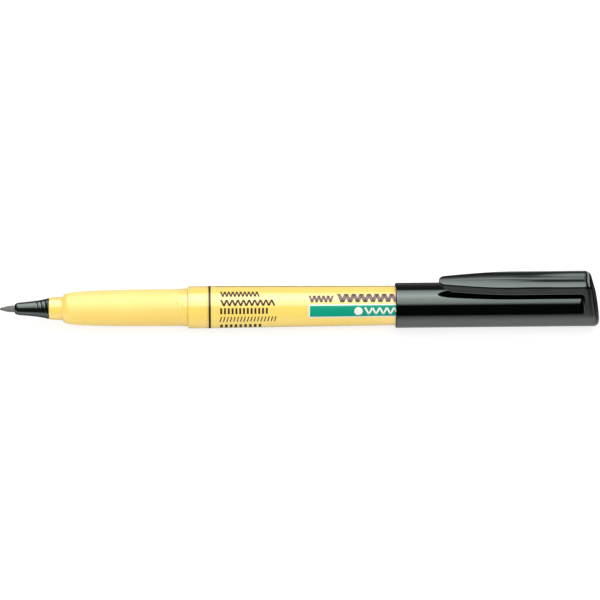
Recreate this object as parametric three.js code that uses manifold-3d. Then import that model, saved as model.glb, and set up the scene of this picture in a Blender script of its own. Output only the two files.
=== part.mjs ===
// A fibre-tipped fabric marker lying on its side, with its cap pushed onto the tail.
// Millimetres. The pen's axis runs along X with the nib towards -X, and the pocket clip stands straight up.
// The origin is under the middle of the pen, at the height of its lowest line.
import * as THREE from "three";
import { mergeVertices } from "three/addons/utils/BufferGeometryUtils.js";
import Module from "manifold-3d";

const wasm = await Module();
wasm.setup();

// Facets round every turned piece: all share them, so that thin layers stay apart all the way round
const SIDES = 36;

// Fits between pieces, as gaps on the radius or along the pen
const SNUG = 0.03; // pieces pressed together
const FILM_FIT = 0.02; // wound films on what they wrap
const POST_CLEARANCE = 0.08; // cap over the printed wrap
const CAP_OVER_GRIP = 0.29; // cap over the widest part of the grip
const SEAM = 0.15; // shadow gap where two shells meet
const END_GAP = 0.3; // reservoir to what stops it at each end
const ROOT_GAP = 0.3; // clip arm to the block that carries it

// Nib
const NIB_DIAMETER = 1.66;
const NIB_POINT_DIAMETER = 0.5;
const NIB_OUT = 3.75; // shows in front of the holder
const NIB_TAPER = 3.1;
const NIB_IN_RESERVOIR = 6;

// Black nib holder
const HOLDER_LENGTH = 8.85; // shows in front of the neck
const HOLDER_FACE_DIAMETER = 2.1;
const HOLDER_NOSE_DIAMETER = 3.2;
const HOLDER_WAIST_DIAMETER = 4;
const HOLDER_BASE_DIAMETER = 5.2;
const HOLDER_BEVEL = 1;
const HOLDER_FLARE = 3.3; // length of the flared foot
const HOLDER_PLUG = 7.4; // sits in the neck

// Front section: neck, shoulder and grip, with a spigot that plugs into the barrel
const NECK_LENGTH = 3.15;
const NECK_FRONT_DIAMETER = 5.4;
const NECK_REAR_DIAMETER = 5.92;
const NECK_BORE_DIAMETER = 3.8;
const NECK_CHAMFER = 0.25;
const GRIP_LENGTH = 31.35;
const SHOULDER_RISE = 0.68; // the quick rise behind the neck and the length that it takes
const SHOULDER_REACH = 0.64;
const SWELL_RISE = 0.85; // the slow swell of the grip and the length that it takes
const SWELL_REACH = 7;
const BEAD_HEIGHT = 0.07; // raised band at the grip's rear end
const BEAD_LENGTH = 1.4;
const SPIGOT_LENGTH = 12;
const GRIP_WALL_BEHIND_NECK = 1.8; // solid stretch between the neck's bore and the reservoir's room

// Snap nubs that hold the cap when it is on the front
const NUBS = 3;
const NUB_TURN = 22; // degrees round from the clip, towards -Y
const NUB_LENGTH = 1.1;
const NUB_WIDTH = 1.5;
const NUB_HEIGHT = 0.24;
const NUB_FROM_STEP = 2.65;

// Barrel
const BARREL_LENGTH = 82.9;
const COLLAR_DIAMETER = 10.56;
const COLLAR_LENGTH = 4.8;
const BARREL_FRONT_DIAMETER = 10.44;
const TAIL_DIAMETER = 9.24;
const BARREL_WALL = 1.05;
const TAIL_WALL = 0.85;
const TAIL_FLOOR = 1.2;
const TAIL_ROUND = 0.8;
const COLLAR_EDGE = 0.15;

// Printed wrap round the barrel
const WRAP_THICKNESS = 0.06;
const WRAP_UNDER_CAP = 12.35;

// Ink reservoir: a fibre core in a thin film
const RESERVOIR_FIT = 0.27; // film to the narrowest place of the barrel
const RESERVOIR_FILM = 0.07;

// Cap
const CAP_WALL = 0.58;
const CAP_EDGE = 0.3; // rounding of the mouth
const NIB_ROOM = 0.35; // nib to the inner cap's floor when the cap is on the front
const END_WALL = 3.4;
const END_SLANT = 0.21; // the flat end leans towards the clip by this much in 1
const BLOCK_LENGTH = 4.75; // from the clip's slot to the cap's end, along its lowest line
const BLOCK_PROUD = 0.05; // block over the tube
const END_ROUND_LOW = 1.2;
const END_ROUND_HIGH = 1.7;
const BLOCK_CORNER = 0.3;

// Inner cap that seals the neck
const INNER_CAP_WALL = 0.6;
const SEAL_FIT = 0.04;
const SEAL_START = 0.6; // behind the shoulder when the cap is on the front
const POST_STOP = 1; // barrel's tail to the inner cap when the cap is on the tail
const FLANGE_THICKNESS = 0.5;
const FLANGE_FROM_FLOOR = 2.1;

// Pocket clip
const CLIP_WIDTH = 5.44; // across its top, where it is widest
const CLIP_HEIGHT = 9.77; // top edges over the pen's axis
const CLIP_CROWN = 0.16;
const CLIP_THICKNESS = 2.17;
const CLIP_LENGTH = 35.9; // free arm, from its tip to the block
const TIP_WIDTH = 2.5;
const TIP_ROUND = 1.3; // length over which the tip rounds off in plan
const TIP_LIFT = 3.2; // length over which the underside runs up to the tip
const TIP_THICKNESS = 0.25;
const CLIP_SPREAD = 20; // length over which the arm widens
const ROOT_FILLET = 1;

// Places along the pen, measured from the nib's tip
const holderFront = NIB_OUT;
const neckFront = holderFront + HOLDER_LENGTH;
const shoulderFront = neckFront + NECK_LENGTH;
const barrelFront = shoulderFront + GRIP_LENGTH;
const wrapFront = barrelFront + COLLAR_LENGTH;
const barrelEnd = barrelFront + BARREL_LENGTH;
const sleeveDepth = GRIP_LENGTH + SEAL_START;
const sleeveMouth = barrelEnd + POST_STOP;
const capMouth = sleeveMouth - sleeveDepth;
const wrapEnd = capMouth + WRAP_UNDER_CAP;
const nibRoomEnd = capMouth + barrelFront + NIB_ROOM;
const capBoreEnd = nibRoomEnd + INNER_CAP_WALL + SNUG;
const capEnd = capBoreEnd + END_WALL;
const blockFront = capEnd - BLOCK_LENGTH;
const flangeFront = nibRoomEnd - FLANGE_FROM_FLOOR;
const holderEnd = neckFront + HOLDER_PLUG;
const reservoirRoom = holderEnd + GRIP_WALL_BEHIND_NECK + END_GAP;
const reservoirFront = reservoirRoom + END_GAP;
const reservoirEnd = barrelEnd - TAIL_FLOOR - END_GAP;

// Radii that follow from the sizes above
const barrelRadius = (x) =>
  THREE.MathUtils.mapLinear(x, wrapFront, barrelEnd, BARREL_FRONT_DIAMETER / 2, TAIL_DIAMETER / 2);
const wrapRadius = (x) => barrelRadius(x) + FILM_FIT + WRAP_THICKNESS;
const capBore = wrapRadius(capMouth) + POST_CLEARANCE;
const capRadius = capBore + CAP_WALL;
const gripRadius = capBore - CAP_OVER_GRIP;
const neckRadius = NECK_REAR_DIAMETER / 2;
const barrelBore = BARREL_FRONT_DIAMETER / 2 - BARREL_WALL;
const tailBore = TAIL_DIAMETER / 2 - TAIL_WALL;
const spigotRadius = barrelBore - SNUG;
const reservoirRadius = tailBore - RESERVOIR_FIT;
const coreRadius = reservoirRadius - RESERVOIR_FILM - FILM_FIT;
const reservoirBore = reservoirRadius + FILM_FIT;
const sleeveBore = neckRadius + SEAL_FIT;
const sleeveRadius = sleeveBore + INNER_CAP_WALL;
const blockRadius = capRadius + BLOCK_PROUD;

const plasticYellow = new THREE.MeshStandardMaterial({ color: 0xfbd766, roughness: 0.45 });
const plasticBlack = new THREE.MeshStandardMaterial({ color: 0x0d1110, roughness: 0.2 });
const plasticGrey = new THREE.MeshStandardMaterial({ color: 0x8a8d8c, roughness: 0.4 });
const wrapFilm = new THREE.MeshStandardMaterial({ color: 0xfdd968, roughness: 0.15 });
const clearFilm = new THREE.MeshStandardMaterial({ color: 0xe8ecec, roughness: 0.2 });
const inkFibre = new THREE.MeshStandardMaterial({ color: 0x5d605f, roughness: 0.9 });

// A closed turned piece: the outline is a list of [place along X, radius], outside first, towards +X.
function turned(outline) {
  const points = outline.map(([x, radius]) => new THREE.Vector2(radius, x));
  if (outline[0][1] > 0) points.push(points[0].clone());
  return new THREE.LatheGeometry(points, SIDES).rotateZ(-Math.PI / 2);
}

// A tube with plain ends, whose radii may change from one end to the other.
function tube(from, to, inner, outer) {
  return turned([
    [from, outer(from)],
    [to, outer(to)],
    [to, inner(to)],
    [from, inner(from)],
  ]);
}

// A closed body through rings of points, each ring with as many points, in order along the body.
function loft(rings) {
  const count = rings[0].length;
  const points = rings.flat();
  const middle = (ring) =>
    ring.reduce((sum, p) => sum.add(p), new THREE.Vector3()).divideScalar(count);
  const first = points.push(middle(rings[0])) - 1;
  const last = points.push(middle(rings.at(-1))) - 1;
  const faces = [];
  const tail = (rings.length - 1) * count;
  for (let i = 0; i < count; i++) {
    const j = (i + 1) % count;
    faces.push(first, j, i, last, tail + i, tail + j);
    for (let r = 0; r < tail; r += count) {
      faces.push(r + i, r + j, r + count + j, r + i, r + count + j, r + count + i);
    }
  }
  return new THREE.BufferGeometry().setFromPoints(points).setIndex(faces);
}

// A closed geometry as a solid that can be joined and cut.
function solidOf(geometry) {
  const bare = geometry.clone().deleteAttribute("normal").deleteAttribute("uv");
  const merged = mergeVertices(bare, 1e-4);
  return new wasm.Manifold(
    new wasm.Mesh({
      numProp: 3,
      vertProperties: merged.attributes.position.array,
      triVerts: new Uint32Array(merged.index.array),
    }),
  );
}

function geometryOf(solid) {
  const { vertProperties, triVerts } = solid.getMesh();
  const geometry = new THREE.BufferGeometry();
  geometry.setAttribute("position", new THREE.BufferAttribute(vertProperties, 3));
  geometry.setIndex(new THREE.BufferAttribute(triVerts, 1));
  geometry.computeVertexNormals();
  return geometry;
}

function part(name, geometry, material) {
  const mesh = new THREE.Mesh(geometry, material);
  mesh.name = name;
  return mesh;
}

// The nib: a fibre rod whose front narrows to a rounded point.
function nib() {
  const shaft = NIB_DIAMETER / 2;
  const point = NIB_POINT_DIAMETER / 2;
  const outline = [[0, 0]];
  for (const share of [0.03, 0.25, 0.5, 0.75, 1]) {
    const swell = Math.sin((share * Math.PI) / 2);
    outline.push([share * NIB_TAPER, point + (shaft - point) * swell]);
  }
  outline.push([reservoirFront + NIB_IN_RESERVOIR, shaft]);
  outline.push([reservoirFront + NIB_IN_RESERVOIR, 0]);
  return part("nib", turned(outline), inkFibre);
}

// The nib holder: bevelled nose, slender cone and flared foot outside, and a plug in the neck.
function nibHolder() {
  const bore = NIB_DIAMETER / 2 + SNUG;
  const plug = NECK_BORE_DIAMETER / 2 - SNUG;
  const foot = neckFront - SNUG;
  const waist = foot - HOLDER_FLARE;
  const bevelEnd = holderFront + HOLDER_BEVEL;
  const outline = [
    [holderFront, HOLDER_FACE_DIAMETER / 2],
    [bevelEnd - HOLDER_BEVEL / 2, (HOLDER_FACE_DIAMETER + HOLDER_NOSE_DIAMETER) / 4 + 0.12],
    [bevelEnd, HOLDER_NOSE_DIAMETER / 2],
  ];
  for (const share of [0, 0.25, 0.5, 0.75, 1]) {
    const flare = ((HOLDER_BASE_DIAMETER - HOLDER_WAIST_DIAMETER) / 2) * share ** 1.5;
    outline.push([waist + share * HOLDER_FLARE, HOLDER_WAIST_DIAMETER / 2 + flare]);
  }
  outline.push([foot, plug], [holderEnd, plug], [holderEnd, bore], [holderFront, bore]);
  return part("nib_holder", turned(outline), plasticBlack);
}

// Radius of the grip at a distance behind the shoulder's front.
function gripOutline(distance) {
  const shoulder = SHOULDER_RISE * Math.exp(-distance / SHOULDER_REACH);
  const swell = SWELL_RISE * Math.exp(-distance / SWELL_REACH);
  return gripRadius - BEAD_HEIGHT - shoulder - swell;
}

// A low rounded nub on the grip, to be joined to it.
function nubSolid(turn) {
  const x = barrelFront - NUB_FROM_STEP;
  const seat = gripOutline(x - shoulderFront);
  const nub = new THREE.SphereGeometry(1, 10, 8);
  nub.scale(NUB_LENGTH / 2, NUB_WIDTH / 2, NUB_HEIGHT * 2);
  nub.translate(x, 0, seat - NUB_HEIGHT);
  nub.rotateX(THREE.MathUtils.degToRad(turn));
  return solidOf(nub);
}

// The front section: neck, shoulder, grip, nubs and the spigot that holds it in the barrel.
function frontSection() {
  const frontRadius = NECK_FRONT_DIAMETER / 2;
  const gripEnd = barrelFront - SEAM;
  const beadFront = gripEnd - BEAD_LENGTH;
  const spigotEnd = barrelFront + SPIGOT_LENGTH;
  const neckBore = NECK_BORE_DIAMETER / 2;
  const outline = [
    [neckFront, frontRadius - NECK_CHAMFER],
    [neckFront + NECK_CHAMFER, frontRadius],
    [shoulderFront, neckRadius],
  ];
  for (const share of [0, 0.006, 0.015, 0.035, 0.07, 0.14, 0.24, 0.38, 0.6, 1]) {
    const x = THREE.MathUtils.lerp(shoulderFront, beadFront - BEAD_HEIGHT, share);
    outline.push([x, gripOutline(x - shoulderFront)]);
  }
  outline.push([beadFront, gripRadius], [gripEnd, gripRadius]);
  outline.push([gripEnd, spigotRadius], [spigotEnd, spigotRadius]);
  outline.push([spigotEnd, reservoirBore], [reservoirRoom, reservoirBore]);
  outline.push([holderEnd + END_GAP, neckBore], [neckFront, neckBore]);
  let body = solidOf(turned(outline));
  for (let i = 0; i < NUBS; i++) {
    body = body.add(nubSolid(NUB_TURN + (360 / NUBS) * i));
  }
  return part("front_section", geometryOf(body), plasticYellow);
}

// The barrel: a cup open at the front, whose plain collar stands a little over the wrapped stretch.
function barrel() {
  const collar = COLLAR_DIAMETER / 2;
  const floor = barrelEnd - TAIL_FLOOR;
  const roundFront = barrelEnd - TAIL_ROUND;
  const outline = [
    [barrelFront, collar - COLLAR_EDGE],
    [barrelFront + COLLAR_EDGE, collar],
    [wrapFront - COLLAR_EDGE, collar],
    [wrapFront, barrelRadius(wrapFront)],
  ];
  for (const angle of [0, 30, 60, 90]) {
    const turn = THREE.MathUtils.degToRad(angle);
    const x = roundFront + TAIL_ROUND * Math.sin(turn);
    outline.push([x, barrelRadius(roundFront) - TAIL_ROUND * (1 - Math.cos(turn))]);
  }
  const seatEnd = barrelFront + SPIGOT_LENGTH + END_GAP;
  outline.push([barrelEnd, 0], [floor, 0], [floor, tailBore]);
  outline.push([seatEnd, barrelBore], [barrelFront, barrelBore]);
  return part("barrel", turned(outline), plasticYellow);
}

const labelFilm = () =>
  part("label_film", tube(wrapFront, wrapEnd, (x) => barrelRadius(x) + FILM_FIT, wrapRadius), wrapFilm);

// The reservoir's fibre core, with a socket for the nib's tail.
function reservoirCore() {
  const socket = NIB_DIAMETER / 2 + SNUG;
  const socketEnd = reservoirFront + NIB_IN_RESERVOIR + END_GAP;
  const outline = [
    [reservoirFront, coreRadius],
    [reservoirEnd, coreRadius],
    [reservoirEnd, 0],
    [socketEnd, 0],
    [socketEnd, socket],
    [reservoirFront, socket],
  ];
  return part("reservoir_core", turned(outline), inkFibre);
}

const reservoirWrap = () =>
  part(
    "reservoir_wrap",
    tube(reservoirFront, reservoirEnd, () => coreRadius + FILM_FIT, () => reservoirRadius),
    clearFilm,
  );

// The clip's side walls lie in the two planes that run from its top edges down to touch the cap's tube.
const clipEdge = CLIP_WIDTH / 2;
const wallTurn =
  Math.atan2(clipEdge, CLIP_HEIGHT) + Math.acos(blockRadius / Math.hypot(clipEdge, CLIP_HEIGHT));
const wallLean = 1 / Math.tan(wallTurn);

// Half width of the clip at a height, where its top edges are a half width apart.
const wallAt = (halfTop, height) => halfTop + wallLean * (CLIP_HEIGHT - height);

// The end block's outline, drawn in by an inset: x is across the pen and y is up from its axis.
function blockOutline(inset) {
  const radius = blockRadius - inset;
  const top = CLIP_HEIGHT - inset;
  const edge = (radius - top * Math.cos(wallTurn)) / Math.sin(wallTurn);
  const start = Math.PI / 2 - wallTurn;
  const cornerDrop = BLOCK_CORNER * Math.sin(wallTurn);
  const cornerSide = BLOCK_CORNER * Math.cos(wallTurn);
  const outline = new THREE.Shape();
  outline.moveTo(radius * Math.cos(start), radius * Math.sin(start));
  outline.lineTo(edge + cornerSide, top - cornerDrop);
  outline.quadraticCurveTo(edge, top, edge - BLOCK_CORNER, top + CLIP_CROWN / 4);
  outline.quadraticCurveTo(0, top + 2 * CLIP_CROWN, BLOCK_CORNER - edge, top + CLIP_CROWN / 4);
  outline.quadraticCurveTo(-edge, top, -edge - cornerSide, top - cornerDrop);
  outline.lineTo(-radius * Math.cos(start), radius * Math.sin(start));
  outline.absarc(0, 0, radius, Math.PI - start, start, false);
  return outline.getPoints(8).slice(0, -1);
}

// The cap's flat end, as the place along the pen at a height over the axis.
const endAt = (height) => capEnd - END_SLANT * (blockRadius + height);

// The solid block that closes the cap: its flat end leans, and its rim is rounded, more so at the bottom.
function blockSolid() {
  const roundAt = (height) =>
    THREE.MathUtils.mapLinear(height, -blockRadius, CLIP_HEIGHT, END_ROUND_LOW, END_ROUND_HIGH);
  const full = blockOutline(0);
  const drawnIn = blockOutline(1);
  const rings = [full.map((p) => new THREE.Vector3(blockFront, p.x, p.y))];
  for (const angle of [0, 22.5, 45, 67.5, 90]) {
    const turn = THREE.MathUtils.degToRad(angle);
    rings.push(
      full.map((p, i) => {
        const round = roundAt(p.y);
        const inset = round * (1 - Math.cos(turn));
        const side = THREE.MathUtils.lerp(p.x, drawnIn[i].x, inset);
        const height = THREE.MathUtils.lerp(p.y, drawnIn[i].y, inset);
        return new THREE.Vector3(endAt(height) - round * (1 - Math.sin(turn)), side, height);
      }),
    );
  }
  return solidOf(loft(rings));
}

// The cap: a thin tube with the end block on it, bored from the mouth in two steps.
function capShell() {
  const inside = blockFront + BLOCK_LENGTH / 4;
  const tubeSolid = solidOf(
    turned([
      [capMouth, 0],
      [capMouth, capRadius - CAP_EDGE],
      [capMouth + CAP_EDGE / 3, capRadius - CAP_EDGE / 3],
      [capMouth + CAP_EDGE, capRadius],
      [inside, capRadius],
      [inside, 0],
    ]),
  );
  const seatFront = flangeFront + FLANGE_THICKNESS + SNUG;
  const bore = solidOf(
    turned([
      [capMouth - 1, 0],
      [capMouth - 1, capBore],
      [seatFront, capBore],
      [seatFront, sleeveRadius + SNUG],
      [capBoreEnd, sleeveRadius + SNUG],
      [capBoreEnd, 0],
    ]),
  );
  return part("cap_shell", geometryOf(tubeSolid.add(blockSolid()).subtract(bore)), plasticBlack);
}

// The inner cap: a small cup that seals round the neck, held by a flange and by its closed end.
function innerCap() {
  const flange = capBore - SNUG;
  const outline = [
    [sleeveMouth, sleeveRadius],
    [flangeFront, sleeveRadius],
    [flangeFront, flange],
    [flangeFront + FLANGE_THICKNESS, flange],
    [flangeFront + FLANGE_THICKNESS, sleeveRadius],
    [nibRoomEnd + INNER_CAP_WALL, sleeveRadius],
    [nibRoomEnd + INNER_CAP_WALL, 0],
    [nibRoomEnd, 0],
    [nibRoomEnd, sleeveBore],
    [sleeveMouth, sleeveBore],
  ];
  return part("inner_cap", turned(outline), plasticGrey);
}

// The pocket clip: a crowned arm with leaning walls, an arrow-like plan and an underside that lifts at the tip.
function pocketClip() {
  const rear = blockFront - ROOT_GAP;
  const tip = rear - CLIP_LENGTH;
  const under = CLIP_HEIGHT - CLIP_THICKNESS;
  const tipUnder = CLIP_HEIGHT - TIP_THICKNESS;
  const halfTopAt = (d) => {
    const spread = Math.sin((Math.min(1, d / CLIP_SPREAD) * Math.PI) / 2);
    const plan = THREE.MathUtils.lerp(TIP_WIDTH / 2, clipEdge, spread);
    return plan * Math.sqrt(1 - Math.max(0, 1 - d / TIP_ROUND) ** 2);
  };
  const underAt = (d) => {
    const fromRoot = CLIP_LENGTH - d;
    if (fromRoot < ROOT_FILLET) {
      return under - ROOT_FILLET + Math.sqrt(ROOT_FILLET ** 2 - (ROOT_FILLET - fromRoot) ** 2);
    }
    return THREE.MathUtils.lerp(tipUnder, under, Math.min(1, d / TIP_LIFT));
  };
  const sectionAt = (d) => {
    const half = halfTopAt(d);
    const corner = Math.min(BLOCK_CORNER, half / 3);
    const low = underAt(d);
    const foot = wallAt(half, low);
    const shoulder = wallAt(half, CLIP_HEIGHT - corner);
    const crown = (CLIP_CROWN * half) / clipEdge;
    const right = [
      [foot, low],
      [shoulder, CLIP_HEIGHT - corner],
      [half - corner * 0.3, CLIP_HEIGHT - corner * 0.2],
      [half - corner, CLIP_HEIGHT + crown * 0.25],
      [half / 2, CLIP_HEIGHT + crown * 0.8],
    ];
    const left = right.map(([side, height]) => [-side, height]).reverse();
    const ring = [...right, [0, CLIP_HEIGHT + crown], ...left];
    return ring.map(([side, height]) => new THREE.Vector3(tip + d, side, height));
  };
  const rounding = [0.04, 0.15, 0.35, 0.65, 1].map((share) => share * TIP_ROUND);
  const widening = [0.16, 0.3, 0.45, 0.6, 0.8, 1].map((share) => share * CLIP_SPREAD);
  const filleting = [1, 0.75, 0.45, 0.2, 0].map((share) => CLIP_LENGTH - share * ROOT_FILLET);
  const stations = [...rounding, ...widening, ...filleting];
  return part("pocket_clip", loft(stations.map(sectionAt)), plasticBlack);
}

// The whole pen, built from the nib's tip and then moved to the origin under its middle
const pen = new THREE.Group();
pen.name = "fabric_marker";
const writingUnit = new THREE.Group();
writingUnit.add(barrel(), frontSection(), nibHolder(), nib(), reservoirCore(), reservoirWrap(), labelFilm());
const capUnit = new THREE.Group();
capUnit.add(capShell(), innerCap(), pocketClip());
pen.add(writingUnit, capUnit);
const extent = new THREE.Box3().setFromObject(pen);
pen.position.set(-(extent.min.x + extent.max.x) / 2, 0, -extent.min.z);

export default pen;
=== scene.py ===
"""Dresses the fabric marker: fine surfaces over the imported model, finishes, printed wrap, studio and camera.

Lengths in the classes are millimetres: along the pen from the nib's tip, and across it from its axis.
Layout turns them into the frame's metres.
"""

from __future__ import annotations

import logging
from dataclasses import dataclass, field
from enum import Enum
from math import acos, atan2, cos, hypot, pi, radians, sin, tan

import bpy
import numpy as np
from mathutils import Matrix, Vector


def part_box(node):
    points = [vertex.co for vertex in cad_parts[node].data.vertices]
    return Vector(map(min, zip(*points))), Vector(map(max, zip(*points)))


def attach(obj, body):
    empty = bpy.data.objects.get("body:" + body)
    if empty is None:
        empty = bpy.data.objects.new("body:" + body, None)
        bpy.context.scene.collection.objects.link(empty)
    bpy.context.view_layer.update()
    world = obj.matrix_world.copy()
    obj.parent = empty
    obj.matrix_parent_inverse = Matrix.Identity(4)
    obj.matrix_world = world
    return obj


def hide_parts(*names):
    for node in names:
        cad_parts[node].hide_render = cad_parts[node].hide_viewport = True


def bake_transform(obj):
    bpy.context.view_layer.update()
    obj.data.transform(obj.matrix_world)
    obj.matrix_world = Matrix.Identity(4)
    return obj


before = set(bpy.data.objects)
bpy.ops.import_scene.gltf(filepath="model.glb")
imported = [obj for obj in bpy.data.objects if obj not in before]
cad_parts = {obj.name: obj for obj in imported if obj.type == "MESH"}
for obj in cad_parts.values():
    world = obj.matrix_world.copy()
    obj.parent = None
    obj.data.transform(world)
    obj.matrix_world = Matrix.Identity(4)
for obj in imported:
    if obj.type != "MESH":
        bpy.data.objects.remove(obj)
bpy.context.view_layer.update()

Colour = tuple[float, float, float, float]
Corner = tuple[float, float, float]
Stops = tuple[tuple[float, float], ...]
Piece = bpy.types.Object
Material = bpy.types.Material
Node = bpy.types.Node
Slot = bpy.types.NodeSocket

MM = 0.001
# Columns round a turned body, and round the grip with its small nubs
SIDES = 144
FINE_SIDES = 216
# Radius of the smallest ring, beside the axis
POLE = 0.02
# How far the neck's front and the nib holder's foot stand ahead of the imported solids'
NECK_LEAD = 0.3
# Gap round the nib, and gap between faces that seat on each other
NIB_PLAY = 0.03
SEAT_GAP = 0.03
# Tints of reflections: none, on the yellow parts, and on the black parts
PLAIN_WHITE: Colour = (1.0, 1.0, 1.0, 1.0)
CREAM_GLOSS: Colour = (1.0, 0.56, 1.0, 1.0)
COOL_GLOSS: Colour = (0.9, 1.0, 0.95, 1.0)
log = logging.getLogger("fabric_marker")


class Body(Enum):
    """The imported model's bodies."""

    BARREL = "barrel"
    CAP = "cap"
    CLIP = "clip"


@dataclass(frozen=True)
class Layout:
    """Where the pen lies in the frame.

    Args:
        tip: place of the nib's tip along X, in metres.
        axis: height of the pen's axis over the floor, in metres.
    """

    tip: float
    axis: float

    @staticmethod
    def from_frame() -> Layout:
        """Reads the nib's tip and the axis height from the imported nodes."""
        low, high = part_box("reservoir_wrap")
        return Layout(tip=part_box("nib")[0][0], axis=(low[2] + high[2]) / 2)

    def front(self, node: str) -> float:
        """Distance of a node's front end behind the nib's tip, in millimetres."""
        return (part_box(node)[0][0] - self.tip) / MM

    def rear(self, node: str) -> float:
        """Distance of a node's rear end behind the nib's tip, in millimetres."""
        return (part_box(node)[1][0] - self.tip) / MM

    def reach(self, node: str) -> float:
        """Half of a node's width across the pen, in millimetres."""
        low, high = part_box(node)
        return (high[1] - low[1]) / 2 / MM

    @property
    def neck(self) -> float:
        """Place of the neck's front edge and of the nib holder's foot, a little ahead of the solid's."""
        return self.front("front_section") - NECK_LEAD

    def metres(self, points: np.ndarray) -> np.ndarray:
        """Turns pen millimetres, with x, y, z on the last axis, into frame metres."""
        return points * MM + np.array([self.tip, 0.0, self.axis])


def signed_volume(points: np.ndarray, faces: list[list[int]]) -> float:
    """Sums the volumes of the cones from the origin to each face's fan of triangles.

    Args:
        points: (n, 3) array of places.
        faces: corner indices of each face.

    Returns:
        The volume, below zero where the faces look inwards.
    """
    total = 0.0
    for size in {len(face) for face in faces}:
        block = np.array([face for face in faces if len(face) == size])
        for k in range(1, size - 1):
            a, b, c = points[block[:, 0]], points[block[:, k]], points[block[:, k + 1]]
            total += float(np.einsum("ij,ij->i", a, np.cross(b, c)).sum())
    return total / 6


def link_mesh(name: str, points: np.ndarray, faces: list[list[int]]) -> Piece:
    """Makes an object of one mesh, at the origin.

    Args:
        name: the object's name.
        points: (n, 3) array in frame metres.
        faces: corner indices of each face.

    Returns:
        The new object.
    """
    mesh = bpy.data.meshes.new(name)
    mesh.from_pydata(points.tolist(), [], faces)
    thing = bpy.data.objects.new(name, mesh)
    bpy.context.scene.collection.objects.link(thing)
    return thing


def closed_mesh(name: str, points: np.ndarray, faces: list[list[int]]) -> Piece:
    """Makes a smooth-shaded piece of one closed mesh, and turns its faces outwards.

    Args:
        name: the piece's name.
        points: (n, 3) array in frame metres.
        faces: corner indices of each face.

    Returns:
        The new object.
    """
    if signed_volume(points - points.mean(axis=0), faces) < 0:
        faces = [face[::-1] for face in faces]
    piece = link_mesh(name, points, faces)
    piece.data.validate()
    piece.data.shade_smooth()
    return piece


def grid_faces(rows: int, columns: int) -> np.ndarray:
    """Corner indices of the faces of an open grid of points."""
    corner = np.arange(rows - 1)[:, None] * columns + np.arange(columns - 1)[None, :]
    return np.stack([corner, corner + 1, corner + columns + 1, corner + columns], -1).reshape(-1, 4)


def ring_faces(rows: int, columns: int, closed: bool) -> np.ndarray:
    """Corner indices between neighbouring rings of points; where closed, the last ring joins the first.

    Args:
        rows: number of rings.
        columns: number of points in a ring.
        closed: whether the last ring joins the first.

    Returns:
        (n, 4) array of corner indices.
    """
    row = np.arange(rows if closed else rows - 1)[:, None]
    column = np.arange(columns)[None, :]
    here, after = row * columns, (row + 1) % rows * columns
    beside = (column + 1) % columns
    return np.stack([here + column, here + beside, after + beside, after + column], -1).reshape(-1, 4)


def slab_faces(rows: int, columns: int) -> np.ndarray:
    """Corner indices of a thin closed slab: its top grid of points comes first, then its bottom grid.

    Args:
        rows: number of points along each grid.
        columns: number of points across it.

    Returns:
        (n, 4) array of corner indices.
    """
    count = rows * columns
    top = grid_faces(rows, columns)
    near, far = np.arange(columns), np.arange(columns - 2, -1, -1) + count - columns
    right, left = np.arange(2, rows + 1) * columns - 1, np.arange(rows - 2, 0, -1) * columns
    rim = np.concatenate([near, right, far, left])
    after = np.roll(rim, -1)
    side = np.stack([rim, rim + count, after + count, after], -1)
    return np.concatenate([top, top[:, ::-1] + count, side])


def ringed_body(name: str, rings: np.ndarray, closed: bool = False) -> Piece:
    """Makes a body from rings of points round the pen.

    Args:
        name: the piece's name.
        rings: (rows, columns, 3) array in frame metres.
        closed: whether the last ring joins the first, as on a tube; otherwise each end gets a middle point.

    Returns:
        The new object.
    """
    rows, columns = rings.shape[:2]
    points = rings.reshape(-1, 3)
    faces = ring_faces(rows, columns, closed).tolist()
    if not closed:
        column = np.arange(columns)
        beside = np.roll(column, -1)
        middle = np.full(columns, len(points))
        end = (rows - 1) * columns
        faces += np.stack([middle, beside, column], -1).tolist()
        faces += np.stack([middle + 1, end + column, end + beside], -1).tolist()
        points = np.concatenate([points, [rings[0].mean(axis=0), rings[-1].mean(axis=0)]])
    return closed_mesh(name, points, faces)


def rounded(corners: list[Corner], steps: int = 6, guard: float = 0.04) -> np.ndarray:
    """Draws an outline through corners, each rounded by an arc.

    Each corner is cut at the distance where a circle of its radius touches both sides, and the arc between
    the two touching points is taken in equal turns. A guard point beside every arc keeps the flat stretch
    flat.

    Args:
        corners: (along, radius, rounding) of each corner; the first and last stay sharp.
        steps: pieces in each arc.
        guard: distance from an arc to its guard point.

    Returns:
        (n, 2) array of the outline.
    """
    path = [np.array(corners[0][:2], float)]
    for before, here, after in zip(corners, corners[1:], corners[2:]):
        p, q, r = (np.array(corner[:2], float) for corner in (before, here, after))
        inward, onward = (p - q) / np.linalg.norm(p - q), (r - q) / np.linalg.norm(r - q)
        if here[2] <= 0:
            path += [q + inward * guard, q, q + onward * guard]
            continue
        opening = acos(float(np.clip(inward @ onward, -1, 1)))
        cut = here[2] / tan(opening / 2)
        middle = q + (inward + onward) / np.linalg.norm(inward + onward) * here[2] / sin(opening / 2)
        start, stop = q + inward * cut - middle, q + onward * cut - middle
        sweep = atan2(start[0] * stop[1] - start[1] * stop[0], start @ stop)
        turn = np.linspace(0, sweep, steps + 1)[:, None]
        arc = middle + np.cos(turn) * start + np.sin(turn) * np.array([-start[1], start[0]])
        path += [q + inward * (cut + guard), *arc, q + onward * (cut + guard)]
    path.append(np.array(corners[-1][:2], float))
    return np.array(path)


def angles_round(sides: int = SIDES) -> np.ndarray:
    """Equal turns round the pen, from the clip's line towards the front side."""
    return np.linspace(0, 2 * pi, sides, endpoint=False)


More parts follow.
